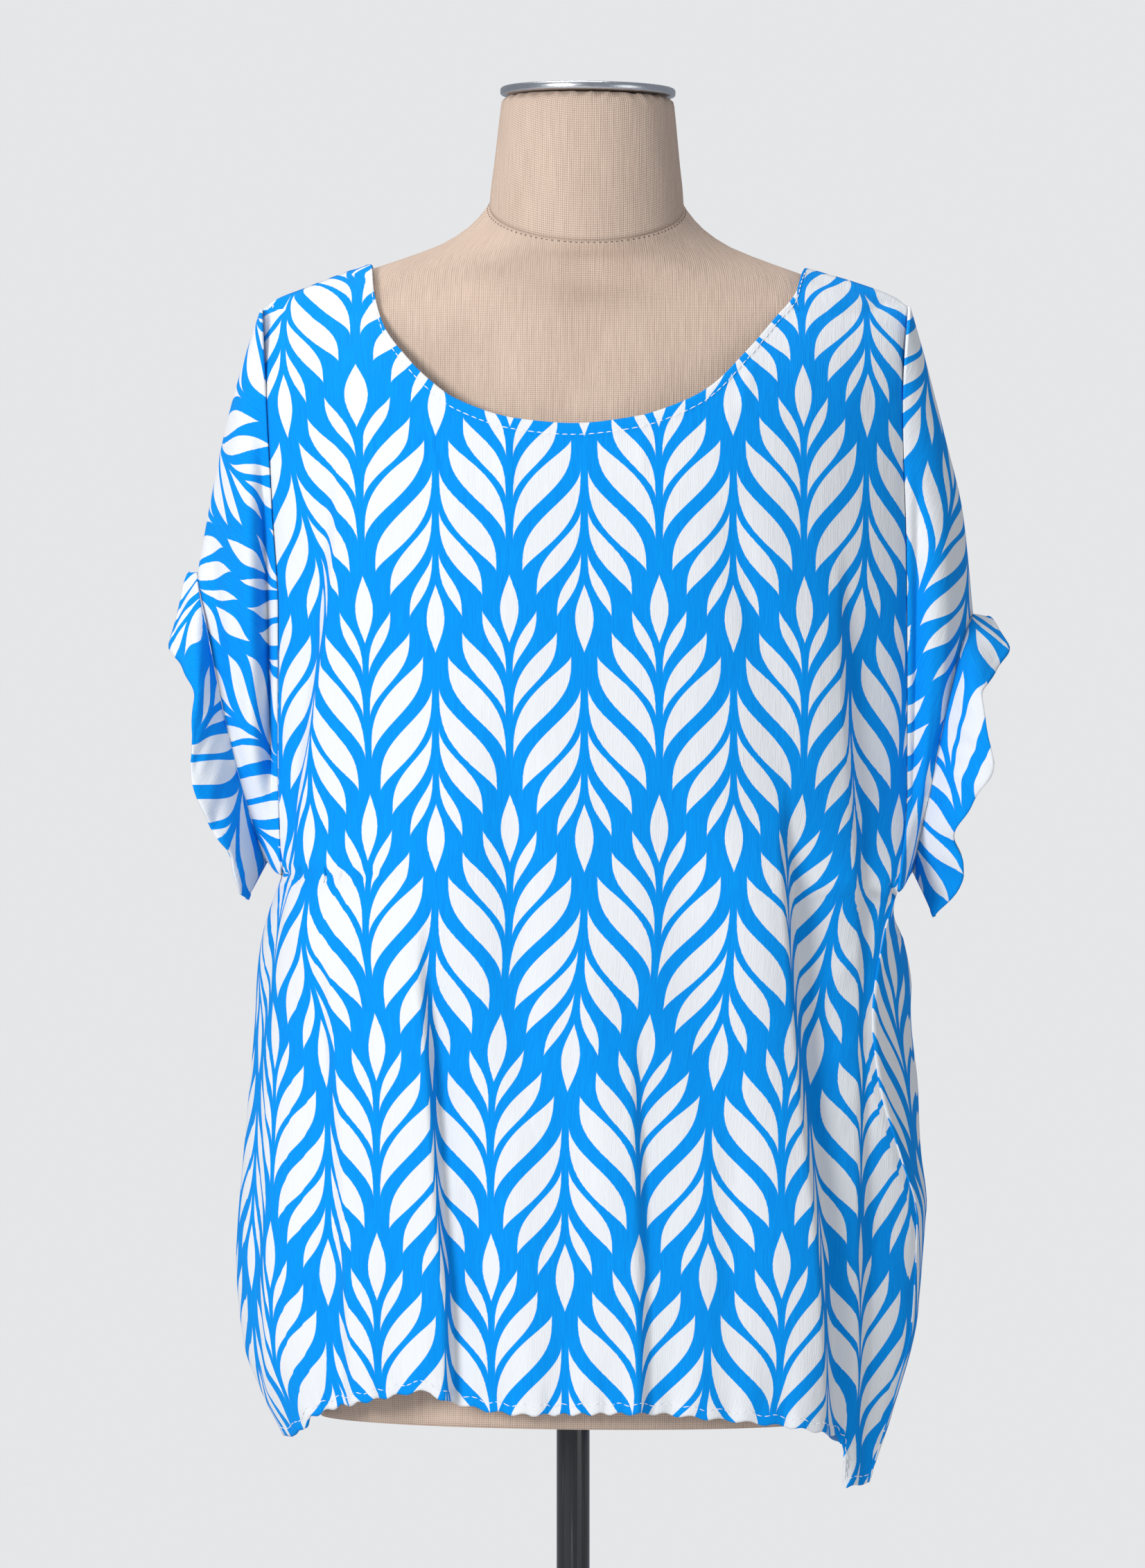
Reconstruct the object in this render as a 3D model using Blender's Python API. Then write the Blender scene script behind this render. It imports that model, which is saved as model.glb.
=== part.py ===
# Short-sleeve blouse resting on a limbless dress form, with the form's post and base.
# Metres, +Z up. The front of the blouse looks along -Y. Left and right are as someone in front
# of it sees them, so +X is right. The origin is the middle of the base plate's underside.

import math

import bpy
import numpy as np

# Stand
BASE_RADIUS = 0.160
BASE_THICKNESS = 0.010
BASE_ROUND = 0.003
BASE_SIDES = 48
POST_RADIUS = 0.0105
POST_SIDES = 24
FACE_GAP = 0.0003

# Dress form. It leans to +X about the point where the post enters it.
FORM_BOTTOM = 0.740
FORM_LEAN = math.radians(0.64)
NECK_SEAM_TILT = 0.43
FORM_SIDES = 36
CAP_RADIUS = 0.0556
CAP_THICKNESS = 0.0050
CAP_BOTTOM = 1.5788

# Rows of the torso: height, half width, depth to the front, depth to the back, tilt
TORSO = (
    (0.740, 0.160, 0.097, 0.103, 0.00),
    (0.760, 0.167, 0.102, 0.109, 0.00),
    (0.820, 0.172, 0.106, 0.114, 0.00),
    (0.880, 0.170, 0.104, 0.114, 0.00),
    (0.960, 0.157, 0.094, 0.102, 0.00),
    (1.040, 0.142, 0.083, 0.087, 0.00),
    (1.090, 0.138, 0.080, 0.080, 0.00),
    (1.150, 0.147, 0.088, 0.083, 0.00),
    (1.210, 0.159, 0.103, 0.090, 0.00),
    (1.260, 0.168, 0.113, 0.096, 0.00),
    (1.310, 0.175, 0.111, 0.099, 0.00),
    (1.360, 0.182, 0.097, 0.098, 0.00),
    (1.400, 0.190, 0.081, 0.091, 0.00),
    (1.425, 0.195, 0.069, 0.081, 0.00),
    (1.440, 0.190, 0.060, 0.071, 0.01),
    (1.449, 0.179, 0.053, 0.063, 0.03),
    (1.456, 0.160, 0.049, 0.058, 0.05),
    (1.4625, 0.146, 0.047, 0.055, 0.08),
    (1.4676, 0.1355, 0.047, 0.054, 0.11),
    (1.4745, 0.1150, 0.048, 0.054, 0.15),
    (1.4835, 0.0910, 0.050, 0.054, 0.22),
    (1.4945, 0.0735, 0.054, 0.055, 0.33),
    (1.5075, 0.0617, 0.058, 0.057, NECK_SEAM_TILT),
)

# Rows of the neck: height, half width, depth to the front, depth to the back, tilt
NECK = (
    (1.5075, 0.0617, 0.058, 0.057, NECK_SEAM_TILT),
    (1.520, 0.0608, 0.057, 0.056, 0.33),
    (1.535, 0.0590, 0.056, 0.055, 0.20),
    (1.552, 0.0572, 0.055, 0.054, 0.08),
    (1.568, 0.0555, 0.054, 0.053, 0.01),
    (1.576, 0.0543, 0.053, 0.052, 0.00),
    (1.5785, 0.0515, 0.050, 0.050, 0.00),
)

# Cloth
CLOTH = 0.0014
SEAM_GAP = 0.0003
ARMHOLE_GAP = 0.0016
SIDE_GAP = 0.0019
SHOULDER_GAP = 0.0010
CLOTH_CLEAR = 0.0022
SHOULDER_ROUND = 0.075

# Neck edge of the front panel, wearer's right to left: x, height
NECKLINE = (
    (-0.1285, 1.4715),
    (-0.1253, 1.4515),
    (-0.1187, 1.4294),
    (-0.1035, 1.4082),
    (-0.0906, 1.3949),
    (-0.0731, 1.3818),
    (-0.0358, 1.3692),
    (0.0004, 1.3660),
    (0.0388, 1.3703),
    (0.0635, 1.3780),
    (0.0835, 1.3883),
    (0.1086, 1.4128),
    (0.1264, 1.4339),
    (0.1397, 1.4504),
    (0.1478, 1.4690),
)
BACK_NECK_DROP = 0.034
BACK_NECK_FULLNESS = 0.7

# Shoulder seams from the neck outwards: x, height
SHOULDER_RIGHT = (
    (0.1478, 1.4690),
    (0.1602, 1.4658),
    (0.1857, 1.4580),
    (0.2037, 1.4510),
    (0.2121, 1.4449),
)
SHOULDER_LEFT = (
    (-0.1285, 1.4715),
    (-0.1500, 1.4645),
    (-0.1703, 1.4565),
    (-0.1880, 1.4495),
    (-0.1965, 1.4430),
)

# Armhole seams: height, x
ARMHOLE_RIGHT = (
    (1.4449, 0.2121),
    (1.4112, 0.2085),
    (1.3742, 0.2067),
    (1.2840, 0.2087),
    (1.1413, 0.2095),
    (1.0747, 0.2030),
)
ARMHOLE_LEFT = (
    (1.4430, -0.1965),
    (1.3977, -0.1933),
    (1.3075, -0.1880),
    (1.2517, -0.1846),
    (1.1566, -0.1850),
    (1.0850, -0.1830),
)

# The armhole's reach to the front and back, how full its curve is, and how far round it the
# underarm begins to swing to the side seam
ARMHOLE_HALF_DEPTH = 0.055
RING_FULLNESS = 0.68
SWEEP_START = 0.70

# Side seams from the underarm down: height, x, y
SIDE_RIGHT = (
    (1.0747, 0.2030, -0.058),
    (1.0488, 0.1952, -0.060),
    (0.9967, 0.1876, -0.064),
    (0.9568, 0.1915, -0.062),
    (0.9095, 0.2050, -0.052),
    (0.8695, 0.2163, -0.040),
    (0.8069, 0.2137, -0.036),
    (0.7450, 0.1990, -0.036),
    (0.7020, 0.1860, -0.036),
)
SIDE_LEFT = (
    (1.0850, -0.1830, -0.030),
    (1.0500, -0.1955, -0.010),
    (1.0250, -0.2000, 0.002),
    (0.9961, -0.2015, 0.008),
    (0.9033, -0.2094, 0.010),
    (0.8413, -0.2138, 0.010),
    (0.7889, -0.2094, 0.010),
    (0.7533, -0.1962, 0.006),
    (0.7282, -0.1825, 0.000),
)

# How far the back panel swells past the right side seam: height, swell
SWELL = (
    (1.074, 0.000),
    (1.060, 0.010),
    (1.043, 0.025),
    (1.010, 0.037),
    (0.960, 0.038),
    (0.910, 0.026),
    (0.860, 0.015),
    (0.803, 0.012),
    (0.740, 0.009),
    (0.702, 0.004),
)

# Depth of the panels at their middle: height, front y, back y
HANG = (
    (1.470, -0.060, 0.070),
    (1.420, -0.083, 0.094),
    (1.366, -0.108, 0.108),
    (1.310, -0.122, 0.112),
    (1.250, -0.127, 0.113),
    (1.150, -0.129, 0.114),
    (1.050, -0.127, 0.116),
    (0.950, -0.126, 0.121),
    (0.850, -0.126, 0.124),
    (0.780, -0.123, 0.121),
    (0.700, -0.112, 0.112),
)

# Hem of the front panel: x, height
FRONT_HEM = (
    (-0.1825, 0.7290),
    (-0.1661, 0.7364),
    (-0.1545, 0.7463),
    (-0.1334, 0.7545),
    (-0.1007, 0.7627),
    (-0.0830, 0.7661),
    (-0.0760, 0.7600),
    (-0.0284, 0.7510),
    (0.0280, 0.7520),
    (0.0843, 0.7468),
    (0.1256, 0.7382),
    (0.1532, 0.7240),
    (0.1704, 0.7000),
    (0.1860, 0.7020),
)

# Hem of the back panel: x, height
BACK_HEM = (
    (-0.1825, 0.7290),
    (-0.1400, 0.7480),
    (-0.0600, 0.7620),
    (0.0200, 0.7600),
    (0.1000, 0.7480),
    (0.1500, 0.7250),
    (0.1860, 0.7020),
)

# Big folds. Each row: name, face, crest heights, crest x at those heights, forward height of the
# crest, depth of the valley behind it, width of the slope before it, side of the steep flank
FOLDS = (
    (
        "bust left",
        "front",
        (1.310, 1.252, 1.183, 1.099, 1.041, 0.98),
        (-0.146, -0.1516, -0.1615, -0.1730, -0.1829, -0.192),
        0.007,
        0.013,
        0.050,
        -1,
    ),
    (
        "bust right",
        "front",
        (1.250, 1.193, 1.143, 1.104, 1.060),
        (0.1640, 0.1666, 0.1713, 0.1739, 0.177),
        0.006,
        0.009,
        0.045,
        1,
    ),
    (
        "side right",
        "front",
        (1.100, 1.020, 0.959, 0.848, 0.761, 0.700),
        (0.1270, 0.1340, 0.1387, 0.1511, 0.1559, 0.158),
        0.012,
        0.012,
        0.060,
        1,
    ),
    (
        "hip left",
        "front",
        (1.025, 0.965, 0.872, 0.814, 0.740),
        (-0.0970, -0.0915, -0.0854, -0.0807, -0.0795),
        0.007,
        0.007,
        0.050,
        1,
    ),
    (
        "flank left",
        "front",
        (1.020, 0.930, 0.840, 0.740),
        (-0.1500, -0.1440, -0.1400, -0.1350),
        0.006,
        0.005,
        0.040,
        -1,
    ),
    (
        "belly",
        "front",
        (0.960, 0.880, 0.800, 0.740),
        (0.0350, 0.0380, 0.0400, 0.0400),
        0.004,
        0.004,
        0.050,
        1,
    ),
    (
        "blade left",
        "back",
        (1.300, 1.180, 1.060, 0.900),
        (-0.1350, -0.1420, -0.1500, -0.1540),
        0.008,
        0.010,
        0.050,
        -1,
    ),
    (
        "blade right",
        "back",
        (1.320, 1.200, 1.080, 0.940),
        (0.1380, 0.1480, 0.1560, 0.1600),
        0.008,
        0.010,
        0.050,
        1,
    ),
    (
        "seat left",
        "back",
        (1.080, 0.960, 0.850, 0.740),
        (-0.0760, -0.0820, -0.0900, -0.0940),
        0.009,
        0.008,
        0.050,
        -1,
    ),
    (
        "seat middle",
        "back",
        (1.020, 0.930, 0.840, 0.740),
        (0.0100, 0.0060, 0.0020, 0.0000),
        0.006,
        0.006,
        0.050,
        1,
    ),
    (
        "seat right",
        "back",
        (1.100, 0.980, 0.860, 0.720),
        (0.0840, 0.0900, 0.0980, 0.1040),
        0.009,
        0.009,
        0.055,
        1,
    ),
)
FLANK = 0.008
FOLD_FADE = 0.050

# Hem gathers: ripples that swell towards the hem and the side corners
RIPPLE_LENGTH = 0.034
RIPPLE_HEIGHT = 0.0032
RIPPLE_REACH = 0.075

# Sleeves. Each row: how far along the sleeve, x and height of its upper fold, x, y and height of
# its lowest point, half depth, outward bow of the front
SLEEVE_RIGHT = (
    (0.25, 0.2204, 1.4163, 0.2055, -0.049, 1.0765, 0.055, 0.000),
    (0.50, 0.2340, 1.3640, 0.2085, -0.034, 1.0800, 0.054, -0.001),
    (0.75, 0.2465, 1.3120, 0.2120, -0.019, 1.0845, 0.050, -0.004),
    (1.00, 0.2530, 1.2500, 0.2155, -0.006, 1.0880, 0.046, -0.007),
)
SLEEVE_LEFT = (
    (0.25, -0.2068, 1.4120, -0.1860, -0.024, 1.0865, 0.055, 0.000),
    (0.50, -0.2190, 1.3680, -0.1890, -0.018, 1.0890, 0.053, 0.001),
    (0.75, -0.2290, 1.3200, -0.1912, -0.011, 1.0915, 0.049, 0.002),
    (1.00, -0.2370, 1.2760, -0.1935, -0.004, 1.0940, 0.045, 0.003),
)

# Free edge of the cuffs, from the upper fold round the front to the underarm and back round the
# rear: angle, outward, y, height
CUFF_RIGHT = (
    (0, 0.2640, 0.004, 1.2480),
    (20, 0.2746, -0.026, 1.2280),
    (45, 0.2600, -0.058, 1.2050),
    (60, 0.2560, -0.066, 1.1940),
    (85, 0.2629, -0.076, 1.1560),
    (110, 0.2500, -0.070, 1.1290),
    (125, 0.2395, -0.058, 1.1110),
    (150, 0.2463, -0.044, 1.0850),
    (172, 0.2280, -0.020, 1.0580),
    (200, 0.2330, 0.016, 1.0640),
    (230, 0.2480, 0.042, 1.0930),
    (255, 0.2420, 0.060, 1.1180),
    (280, 0.2600, 0.074, 1.1500),
    (305, 0.2570, 0.064, 1.1900),
    (335, 0.2700, 0.036, 1.2260),
)
CUFF_LEFT = (
    (0, -0.2440, 0.004, 1.2760),
    (20, -0.2540, -0.028, 1.2300),
    (40, -0.2430, -0.056, 1.2120),
    (57, -0.2370, -0.066, 1.1930),
    (80, -0.2395, -0.074, 1.1560),
    (105, -0.2290, -0.068, 1.1180),
    (130, -0.2150, -0.056, 1.0960),
    (150, -0.2110, -0.042, 1.0760),
    (172, -0.2060, -0.018, 1.0690),
    (200, -0.2110, 0.016, 1.0730),
    (230, -0.2200, 0.042, 1.0980),
    (255, -0.2260, 0.058, 1.1220),
    (280, -0.2400, 0.072, 1.1560),
    (305, -0.2370, 0.064, 1.1900),
    (335, -0.2500, 0.034, 1.2400),
)

# Grids
FRONT_GRID = (44, 36)
BACK_GRID = (34, 27)
SLEEVE_GRID = (32, 7)
CUFF_GRID = (44, 4)
ROW_CROWDING = 1.4


def smooth(stations, values, at):
    """Cubic curve through a short table that never swings past its rows."""
    stations = np.asarray(stations, float)
    values = np.asarray(values, float)
    if stations[0] > stations[-1]:
        stations, values = stations[::-1], values[::-1]
    step = np.diff(stations)
    slope = np.diff(values) / step
    tangent = np.empty_like(values)
    tangent[0], tangent[-1] = slope[0], slope[-1]
    before, after = slope[:-1], slope[1:]
    same_way = before * after > 0
    mean = 2 * before * after / np.where(same_way, before + after, 1.0)
    tangent[1:-1] = np.where(same_way, mean, 0.0)
    at = np.clip(np.asarray(at, float), stations[0], stations[-1])
    row = np.clip(np.searchsorted(stations, at) - 1, 0, len(step) - 1)
    f = (at - stations[row]) / step[row]
    from_start = (1 + 2 * f) * (1 - f) ** 2 * values[row] + f * (1 - f) ** 2 * step[row] * tangent[row]
    from_end = f * f * (3 - 2 * f) * values[row + 1] + f * f * (f - 1) * step[row] * tangent[row + 1]
    return from_start + from_end


def column(table, number):
    return [row[number] for row in table]


def ease(value):
    value = np.clip(value, 0.0, 1.0)
    return value * value * (3 - 2 * value)


def unit(vectors):
    return vectors / np.linalg.norm(vectors, axis=1, keepdims=True)


def material(name, colour, roughness, metallic=0.0):
    made = bpy.data.materials.new(name)
    made.use_nodes = True
    shader = made.node_tree.nodes["Principled BSDF"]
    shader.inputs["Base Color"].default_value = (*colour, 1.0)
    shader.inputs["Roughness"].default_value = roughness
    shader.inputs["Metallic"].default_value = metallic
    return made


def add_object(name, points, faces, finish):
    mesh = bpy.data.meshes.new(name)
    mesh.from_pydata([tuple(map(float, point)) for point in points], [], faces)
    mesh.materials.append(finish)
    mesh.shade_smooth()
    made = bpy.data.objects.new(name, mesh)
    bpy.context.scene.collection.objects.link(made)
    return made


def grid_faces(across, down, closed):
    """Quads of a grid whose points run across first. A closed grid joins its last column to its first."""
    wide = across if closed else across + 1
    faces = []
    for j in range(down):
        for i in range(across):
            k = (i + 1) % wide
            faces.append((j * wide + i, j * wide + k, (j + 1) * wide + k, (j + 1) * wide + i))
    return faces


def add_cloth(name, grid, closed, finish):
    """A cloth wall from a grid of points, thickened evenly to both sides."""
    down, wide = grid.shape[0] - 1, grid.shape[1]
    faces = grid_faces(wide if closed else wide - 1, down, closed)
    made = add_object(name, grid.reshape(-1, 3), faces, finish)
    wall = made.modifiers.new("cloth thickness", "SOLIDIFY")
    wall.thickness = CLOTH
    wall.offset = 0.0
    return made


def torso_section(table, height):
    return [smooth(column(table, 0), column(table, k), height) for k in (1, 2, 3, 4)]


def lean(points):
    """Turns points of the upright form about Y, at the foot of the form."""
    moved = np.array(points, float)
    x, up = moved[..., 0].copy(), moved[..., 2] - FORM_BOTTOM
    moved[..., 0] = x * math.cos(FORM_LEAN) + up * math.sin(FORM_LEAN)
    moved[..., 2] = FORM_BOTTOM - x * math.sin(FORM_LEAN) + up * math.cos(FORM_LEAN)
    return moved


def stack_of_rings(name, rings, finish):
    """A closed solid through rings of equal count, with a flat face at each end."""
    rings = np.asarray(rings)
    wide = rings.shape[1]
    faces = grid_faces(wide, rings.shape[0] - 1, True)
    faces.append(tuple(range(wide))[::-1])
    faces.append(tuple(range((rings.shape[0] - 1) * wide, rings.shape[0] * wide)))
    return add_object(name, rings.reshape(-1, 3), faces, finish)


def form_rings(table, first_lift=0.0):
    """Oval rings, one for each row of a form table."""
    angles = np.arange(FORM_SIDES) * 2 * math.pi / FORM_SIDES
    rings = []
    for number, (height, half, front, back, tilt) in enumerate(table):
        x = half * np.cos(angles)
        y = np.where(np.sin(angles) < 0, front, back) * np.sin(angles)
        lift = first_lift if number == 0 else 0.0
        rings.append(np.stack([x, y, height + lift + tilt * y], axis=1))
    return lean(np.array(rings))


def form_surface(x, z, facing):
    """y of the form's front (-1) or back (+1) at a place, 0 outside its outline."""
    up = z - FORM_BOTTOM
    own_x = x * math.cos(FORM_LEAN) - up * math.sin(FORM_LEAN)
    own_z = FORM_BOTTOM + x * math.sin(FORM_LEAN) + up * math.cos(FORM_LEAN)
    y = np.zeros_like(x)
    for _ in range(4):
        half, front, back, tilt = torso_section(TORSO, own_z)
        half, front, back, tilt = torso_section(TORSO, own_z - tilt * y)
        depth = front if facing < 0 else back
        y = facing * depth * np.sqrt(np.clip(1 - (own_x / half) ** 2, 0.0, 1.0))
    return y


def shoulder_height(x):
    left = smooth(column(SHOULDER_LEFT, 0), column(SHOULDER_LEFT, 1), x)
    right = smooth(column(SHOULDER_RIGHT, 0), column(SHOULDER_RIGHT, 1), x)
    return np.where(x < 0, left, right)


def armhole(side, face, height):
    """x and y of an armhole seam. side and face are +1 or -1; the front has face -1."""
    table = ARMHOLE_RIGHT if side > 0 else ARMHOLE_LEFT
    seam = SIDE_RIGHT if side > 0 else SIDE_LEFT
    top, bottom = table[0][0], table[-1][0]
    turn = np.arccos(np.clip((2 * height - top - bottom) / (top - bottom), -1.0, 1.0))
    x = smooth(column(table, 0), column(table, 1), height)
    middle = seam[0][2] * ease((turn / math.pi - SWEEP_START) / (1 - SWEEP_START))
    y = middle + face * ARMHOLE_HALF_DEPTH * np.sin(turn) ** RING_FULLNESS
    return x, y


def panel_edge(side, face, height):
    """x and y of a panel's edge: its armhole, and below the underarm its side seam."""
    seam = SIDE_RIGHT if side > 0 else SIDE_LEFT
    arm_x, arm_y = armhole(side, face, np.maximum(height, seam[0][0]))
    seam_x = smooth(column(seam, 0), column(seam, 1), height)
    seam_y = smooth(column(seam, 0), column(seam, 2), height)
    above = height > seam[0][0]
    return np.where(above, arm_x, seam_x), np.where(above, arm_y, seam_y + face * SIDE_GAP / 2)


def fold_height(face_name, x, z):
    """How far the big folds of one face stand out."""
    total = np.zeros_like(x)
    for _, face, heights, crest_x, crest, valley, slope, steep in FOLDS:
        if face != face_name:
            continue
        along = steep * (x - smooth(heights, crest_x, z))
        reach = ease((heights[0] + FOLD_FADE - z) / (2 * FOLD_FADE))
        before = crest * ease(1 + along / slope)
        flank = crest - (crest + valley) * ease(along / FLANK)
        after = -valley * ease(1 - (along - FLANK) / slope)
        shape = np.where(along < 0, before, np.where(along < FLANK, flank, after))
        total += reach * shape
    return total


def top_edge(face, fraction):
    """x and height of a panel's upper edge: shoulder, neck edge, shoulder, by length."""
    if face < 0:
        neck = list(NECKLINE)
    else:
        left, right = NECKLINE[0], NECKLINE[-1]
        turns = np.linspace(0, math.pi, 11)
        middle, half = (left[0] + right[0]) / 2, (right[0] - left[0]) / 2
        neck = []
        for turn in turns:
            level = left[1] + (right[1] - left[1]) * turn / math.pi
            drop = BACK_NECK_DROP * math.sin(turn) ** BACK_NECK_FULLNESS
            neck.append((middle - half * math.cos(turn), level - drop))
    points = np.array(list(SHOULDER_LEFT)[::-1][:-1] + neck + list(SHOULDER_RIGHT)[1:])
    length = np.concatenate([[0.0], np.cumsum(np.hypot(*np.diff(points, axis=0).T))])
    length /= length[-1]
    return smooth(length, points[:, 0], fraction), smooth(length, points[:, 1], fraction)


def panel(face, across, down):
    """Grid of points of the front (-1) or back (+1) panel, rows from the top edge to the hem."""
    name = "front" if face < 0 else "back"
    hem = FRONT_HEM if face < 0 else BACK_HEM
    s = np.linspace(-1.0, 1.0, across + 1)
    fraction = (s + 1) / 2
    top_x, top_z = top_edge(face, fraction)
    spread = np.sin(s * math.pi / 2)
    hem_x = np.where(spread < 0, -hem[0][0], hem[-1][0]) * spread
    hem_z = smooth(column(hem, 0), column(hem, 1), hem_x)
    top_right, top_left = panel_edge(1, face, top_z)[0], panel_edge(-1, face, top_z)[0]
    top_across = (2 * top_x - top_left - top_right) / (top_right - top_left)
    rows = []
    for t in np.linspace(0.0, 1.0, down + 1) ** ROW_CROWDING:
        z = top_z + (hem_z - top_z) * t
        right_x, right_y = panel_edge(1, face, z)
        left_x, left_y = panel_edge(-1, face, z)
        across_now = top_across + (spread - top_across) * ease(t / 0.40)
        x = (left_x + right_x) / 2 + across_now * (right_x - left_x) / 2
        side_y = left_y + (right_y - left_y) * (across_now + 1) / 2
        low = ease((1.13 - z) / 0.10)
        power = np.where((across_now > 0) & (face < 0), 1.0, 1.0 / (1.0 + low))
        curve = (1 - np.abs(across_now) ** 3.0) ** power
        deep = smooth(column(HANG, 0), column(HANG, 1 if face < 0 else 2), z)
        y = side_y + (deep - side_y) * curve
        inner = 1 - np.abs(across_now) ** 6
        y += face * fold_height(name, x, z) * inner
        near_hem = ease(1 - (z - hem_z) / RIPPLE_REACH)
        near_side = 0.35 + 0.65 * np.abs(across_now) ** 4
        y += face * RIPPLE_HEIGHT * near_hem * near_side * inner * np.sin(2 * math.pi * x / RIPPLE_LENGTH)
        if face > 0:
            to_side = np.sin(np.clip((np.abs(s) - 0.5) / 0.5, 0.0, 1.0) * math.pi)
            swell = smooth(column(SWELL, 0), column(SWELL, 1), z)
            x = x + np.where(s > 0, swell, 0.0) * to_side
        drop = np.clip(shoulder_height(x) - z, 0.0, None)
        over = np.clip(drop / SHOULDER_ROUND, 0.0, 1.0)
        y *= np.sqrt(1 - (1 - over) ** 2)
        skin = form_surface(x, z - CLOTH_CLEAR * 2, face)
        touching = (np.abs(skin) > 0.001) & (drop > 0.0005)
        y = np.where(touching, face * np.maximum(face * y, np.abs(skin) + CLOTH_CLEAR), y)
        y = np.where(over < 0.5, face * np.maximum(face * y, SHOULDER_GAP / 2), y)
        rows.append(np.stack([x, y, z], axis=1))
    return np.array(rows)


def tall_ring_angles(count):
    """Angles round a tall narrow ring that space its points about evenly along it."""
    even = np.arange(count) * 2 * math.pi / count
    return even + 0.25 * np.sin(2 * even)


def sleeve_ring(side, along, angles):
    """Ring of a sleeve, from the armhole (0) to the cuff seam (1)."""
    table = SLEEVE_RIGHT if side > 0 else SLEEVE_LEFT
    arm = ARMHOLE_RIGHT if side > 0 else ARMHOLE_LEFT
    seam = SIDE_RIGHT if side > 0 else SIDE_LEFT
    start = (0.0, arm[0][1], arm[0][0], seam[0][1], seam[0][2], seam[0][0], ARMHOLE_HALF_DEPTH, 0.0)
    rows = (start,) + table
    place = [smooth(column(rows, 0), column(rows, k), along) for k in range(1, 8)]
    upper_x, upper_z, lower_x, lower_y, lower_z, half, bow = place
    face = np.where(np.sin(angles) >= 0, -1.0, 1.0)
    turn = np.arccos(np.cos(angles))
    down = (1 - np.cos(turn)) / 2
    z = upper_z + (lower_z - upper_z) * down
    arm_z, arm_x = column(arm, 0), column(arm, 1)
    out_above = upper_x - smooth(arm_z, arm_x, upper_z)
    out_below = lower_x - smooth(arm_z, arm_x, lower_z)
    x = smooth(arm_z, arm_x, z) + out_above + (out_below - out_above) * down
    x += side * (bow * np.sin(turn) + ARMHOLE_GAP * (1 - along))
    y = lower_y * ease((turn / math.pi - SWEEP_START) / (1 - SWEEP_START))
    y = y + face * half * np.sin(turn) ** RING_FULLNESS
    return np.stack([x, y, z], axis=1)


def sleeve(side, across, down):
    angles = tall_ring_angles(across)
    return np.array([sleeve_ring(side, j / down, angles) for j in range(down + 1)])


def periodic(table, number, degrees):
    """Smooth closed curve through a table whose first column is an angle in degrees."""
    angles = [row[0] for row in table]
    values = [row[number] for row in table]
    wrapped = [angles[-2] - 360, angles[-1] - 360] + angles + [360 + angles[0], 360 + angles[1]]
    return smooth(wrapped, values[-2:] + values + values[:2], degrees)


def cuff(side, across, down):
    """Band from the cuff seam to its wavy free edge."""
    table = CUFF_RIGHT if side > 0 else CUFF_LEFT
    angles = tall_ring_angles(across)
    seam = sleeve_ring(side, 1.0, angles)
    edge = np.stack([periodic(table, k, np.degrees(angles)) for k in (1, 2, 3)], axis=1)
    along_seam = unit(np.roll(seam, -1, axis=0) - np.roll(seam, 1, axis=0))
    away = unit(edge - seam)
    away -= along_seam * np.sum(away * along_seam, axis=1, keepdims=True)
    start = seam + unit(away) * (CLOTH + SEAM_GAP)
    rows = []
    for j in range(down + 1):
        f = j / down
        point = start + (edge - start) * f
        point[:, 1] *= 1 + 0.10 * math.sin(math.pi * f)
        rows.append(point)
    return np.array(rows)


def remove_old_objects():
    for old in list(bpy.data.objects):
        bpy.data.objects.remove(old, do_unlink=True)


def add_stand():
    dark_steel = material("dark steel", (0.020, 0.020, 0.023), 0.25, 1.0)
    angles = np.arange(BASE_SIDES) * 2 * math.pi / BASE_SIDES
    rings = []
    for radius, z in (
        (BASE_RADIUS, 0.0),
        (BASE_RADIUS, BASE_THICKNESS - BASE_ROUND),
        (BASE_RADIUS - BASE_ROUND * 0.3, BASE_THICKNESS - BASE_ROUND * 0.3),
        (BASE_RADIUS - BASE_ROUND, BASE_THICKNESS),
    ):
        x = radius * np.cos(angles)
        y = radius * np.sin(angles)
        rings.append(np.stack([x, y, np.full(BASE_SIDES, z)], axis=1))
    stack_of_rings("base", rings, dark_steel)
    angles = np.arange(POST_SIDES) * 2 * math.pi / POST_SIDES
    post_top = FORM_BOTTOM - FACE_GAP - POST_RADIUS * math.sin(FORM_LEAN)
    rings = []
    for z in (BASE_THICKNESS + FACE_GAP, post_top):
        x = POST_RADIUS * np.cos(angles)
        y = POST_RADIUS * np.sin(angles)
        rings.append(np.stack([x, y, np.full(POST_SIDES, z)], axis=1))
    stack_of_rings("post", rings, dark_steel)


def add_form():
    linen = material("linen", (0.62, 0.47, 0.36), 0.85)
    steel = material("brushed steel", (0.62, 0.63, 0.65), 0.28, 1.0)
    stack_of_rings("form_body", form_rings(TORSO), linen)
    stack_of_rings("form_neck", form_rings(NECK, FACE_GAP), linen)
    angles = np.arange(FORM_SIDES) * 2 * math.pi / FORM_SIDES
    rings = []
    for radius, z in (
        (CAP_RADIUS - 0.0012, CAP_BOTTOM),
        (CAP_RADIUS, CAP_BOTTOM + 0.0010),
        (CAP_RADIUS, CAP_BOTTOM + CAP_THICKNESS - 0.0012),
        (CAP_RADIUS - 0.0014, CAP_BOTTOM + CAP_THICKNESS),
    ):
        x = radius * np.cos(angles)
        y = radius * np.sin(angles)
        rings.append(np.stack([x, y, np.full(FORM_SIDES, z)], axis=1))
    stack_of_rings("neck_cap", lean(np.array(rings)), steel)


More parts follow.
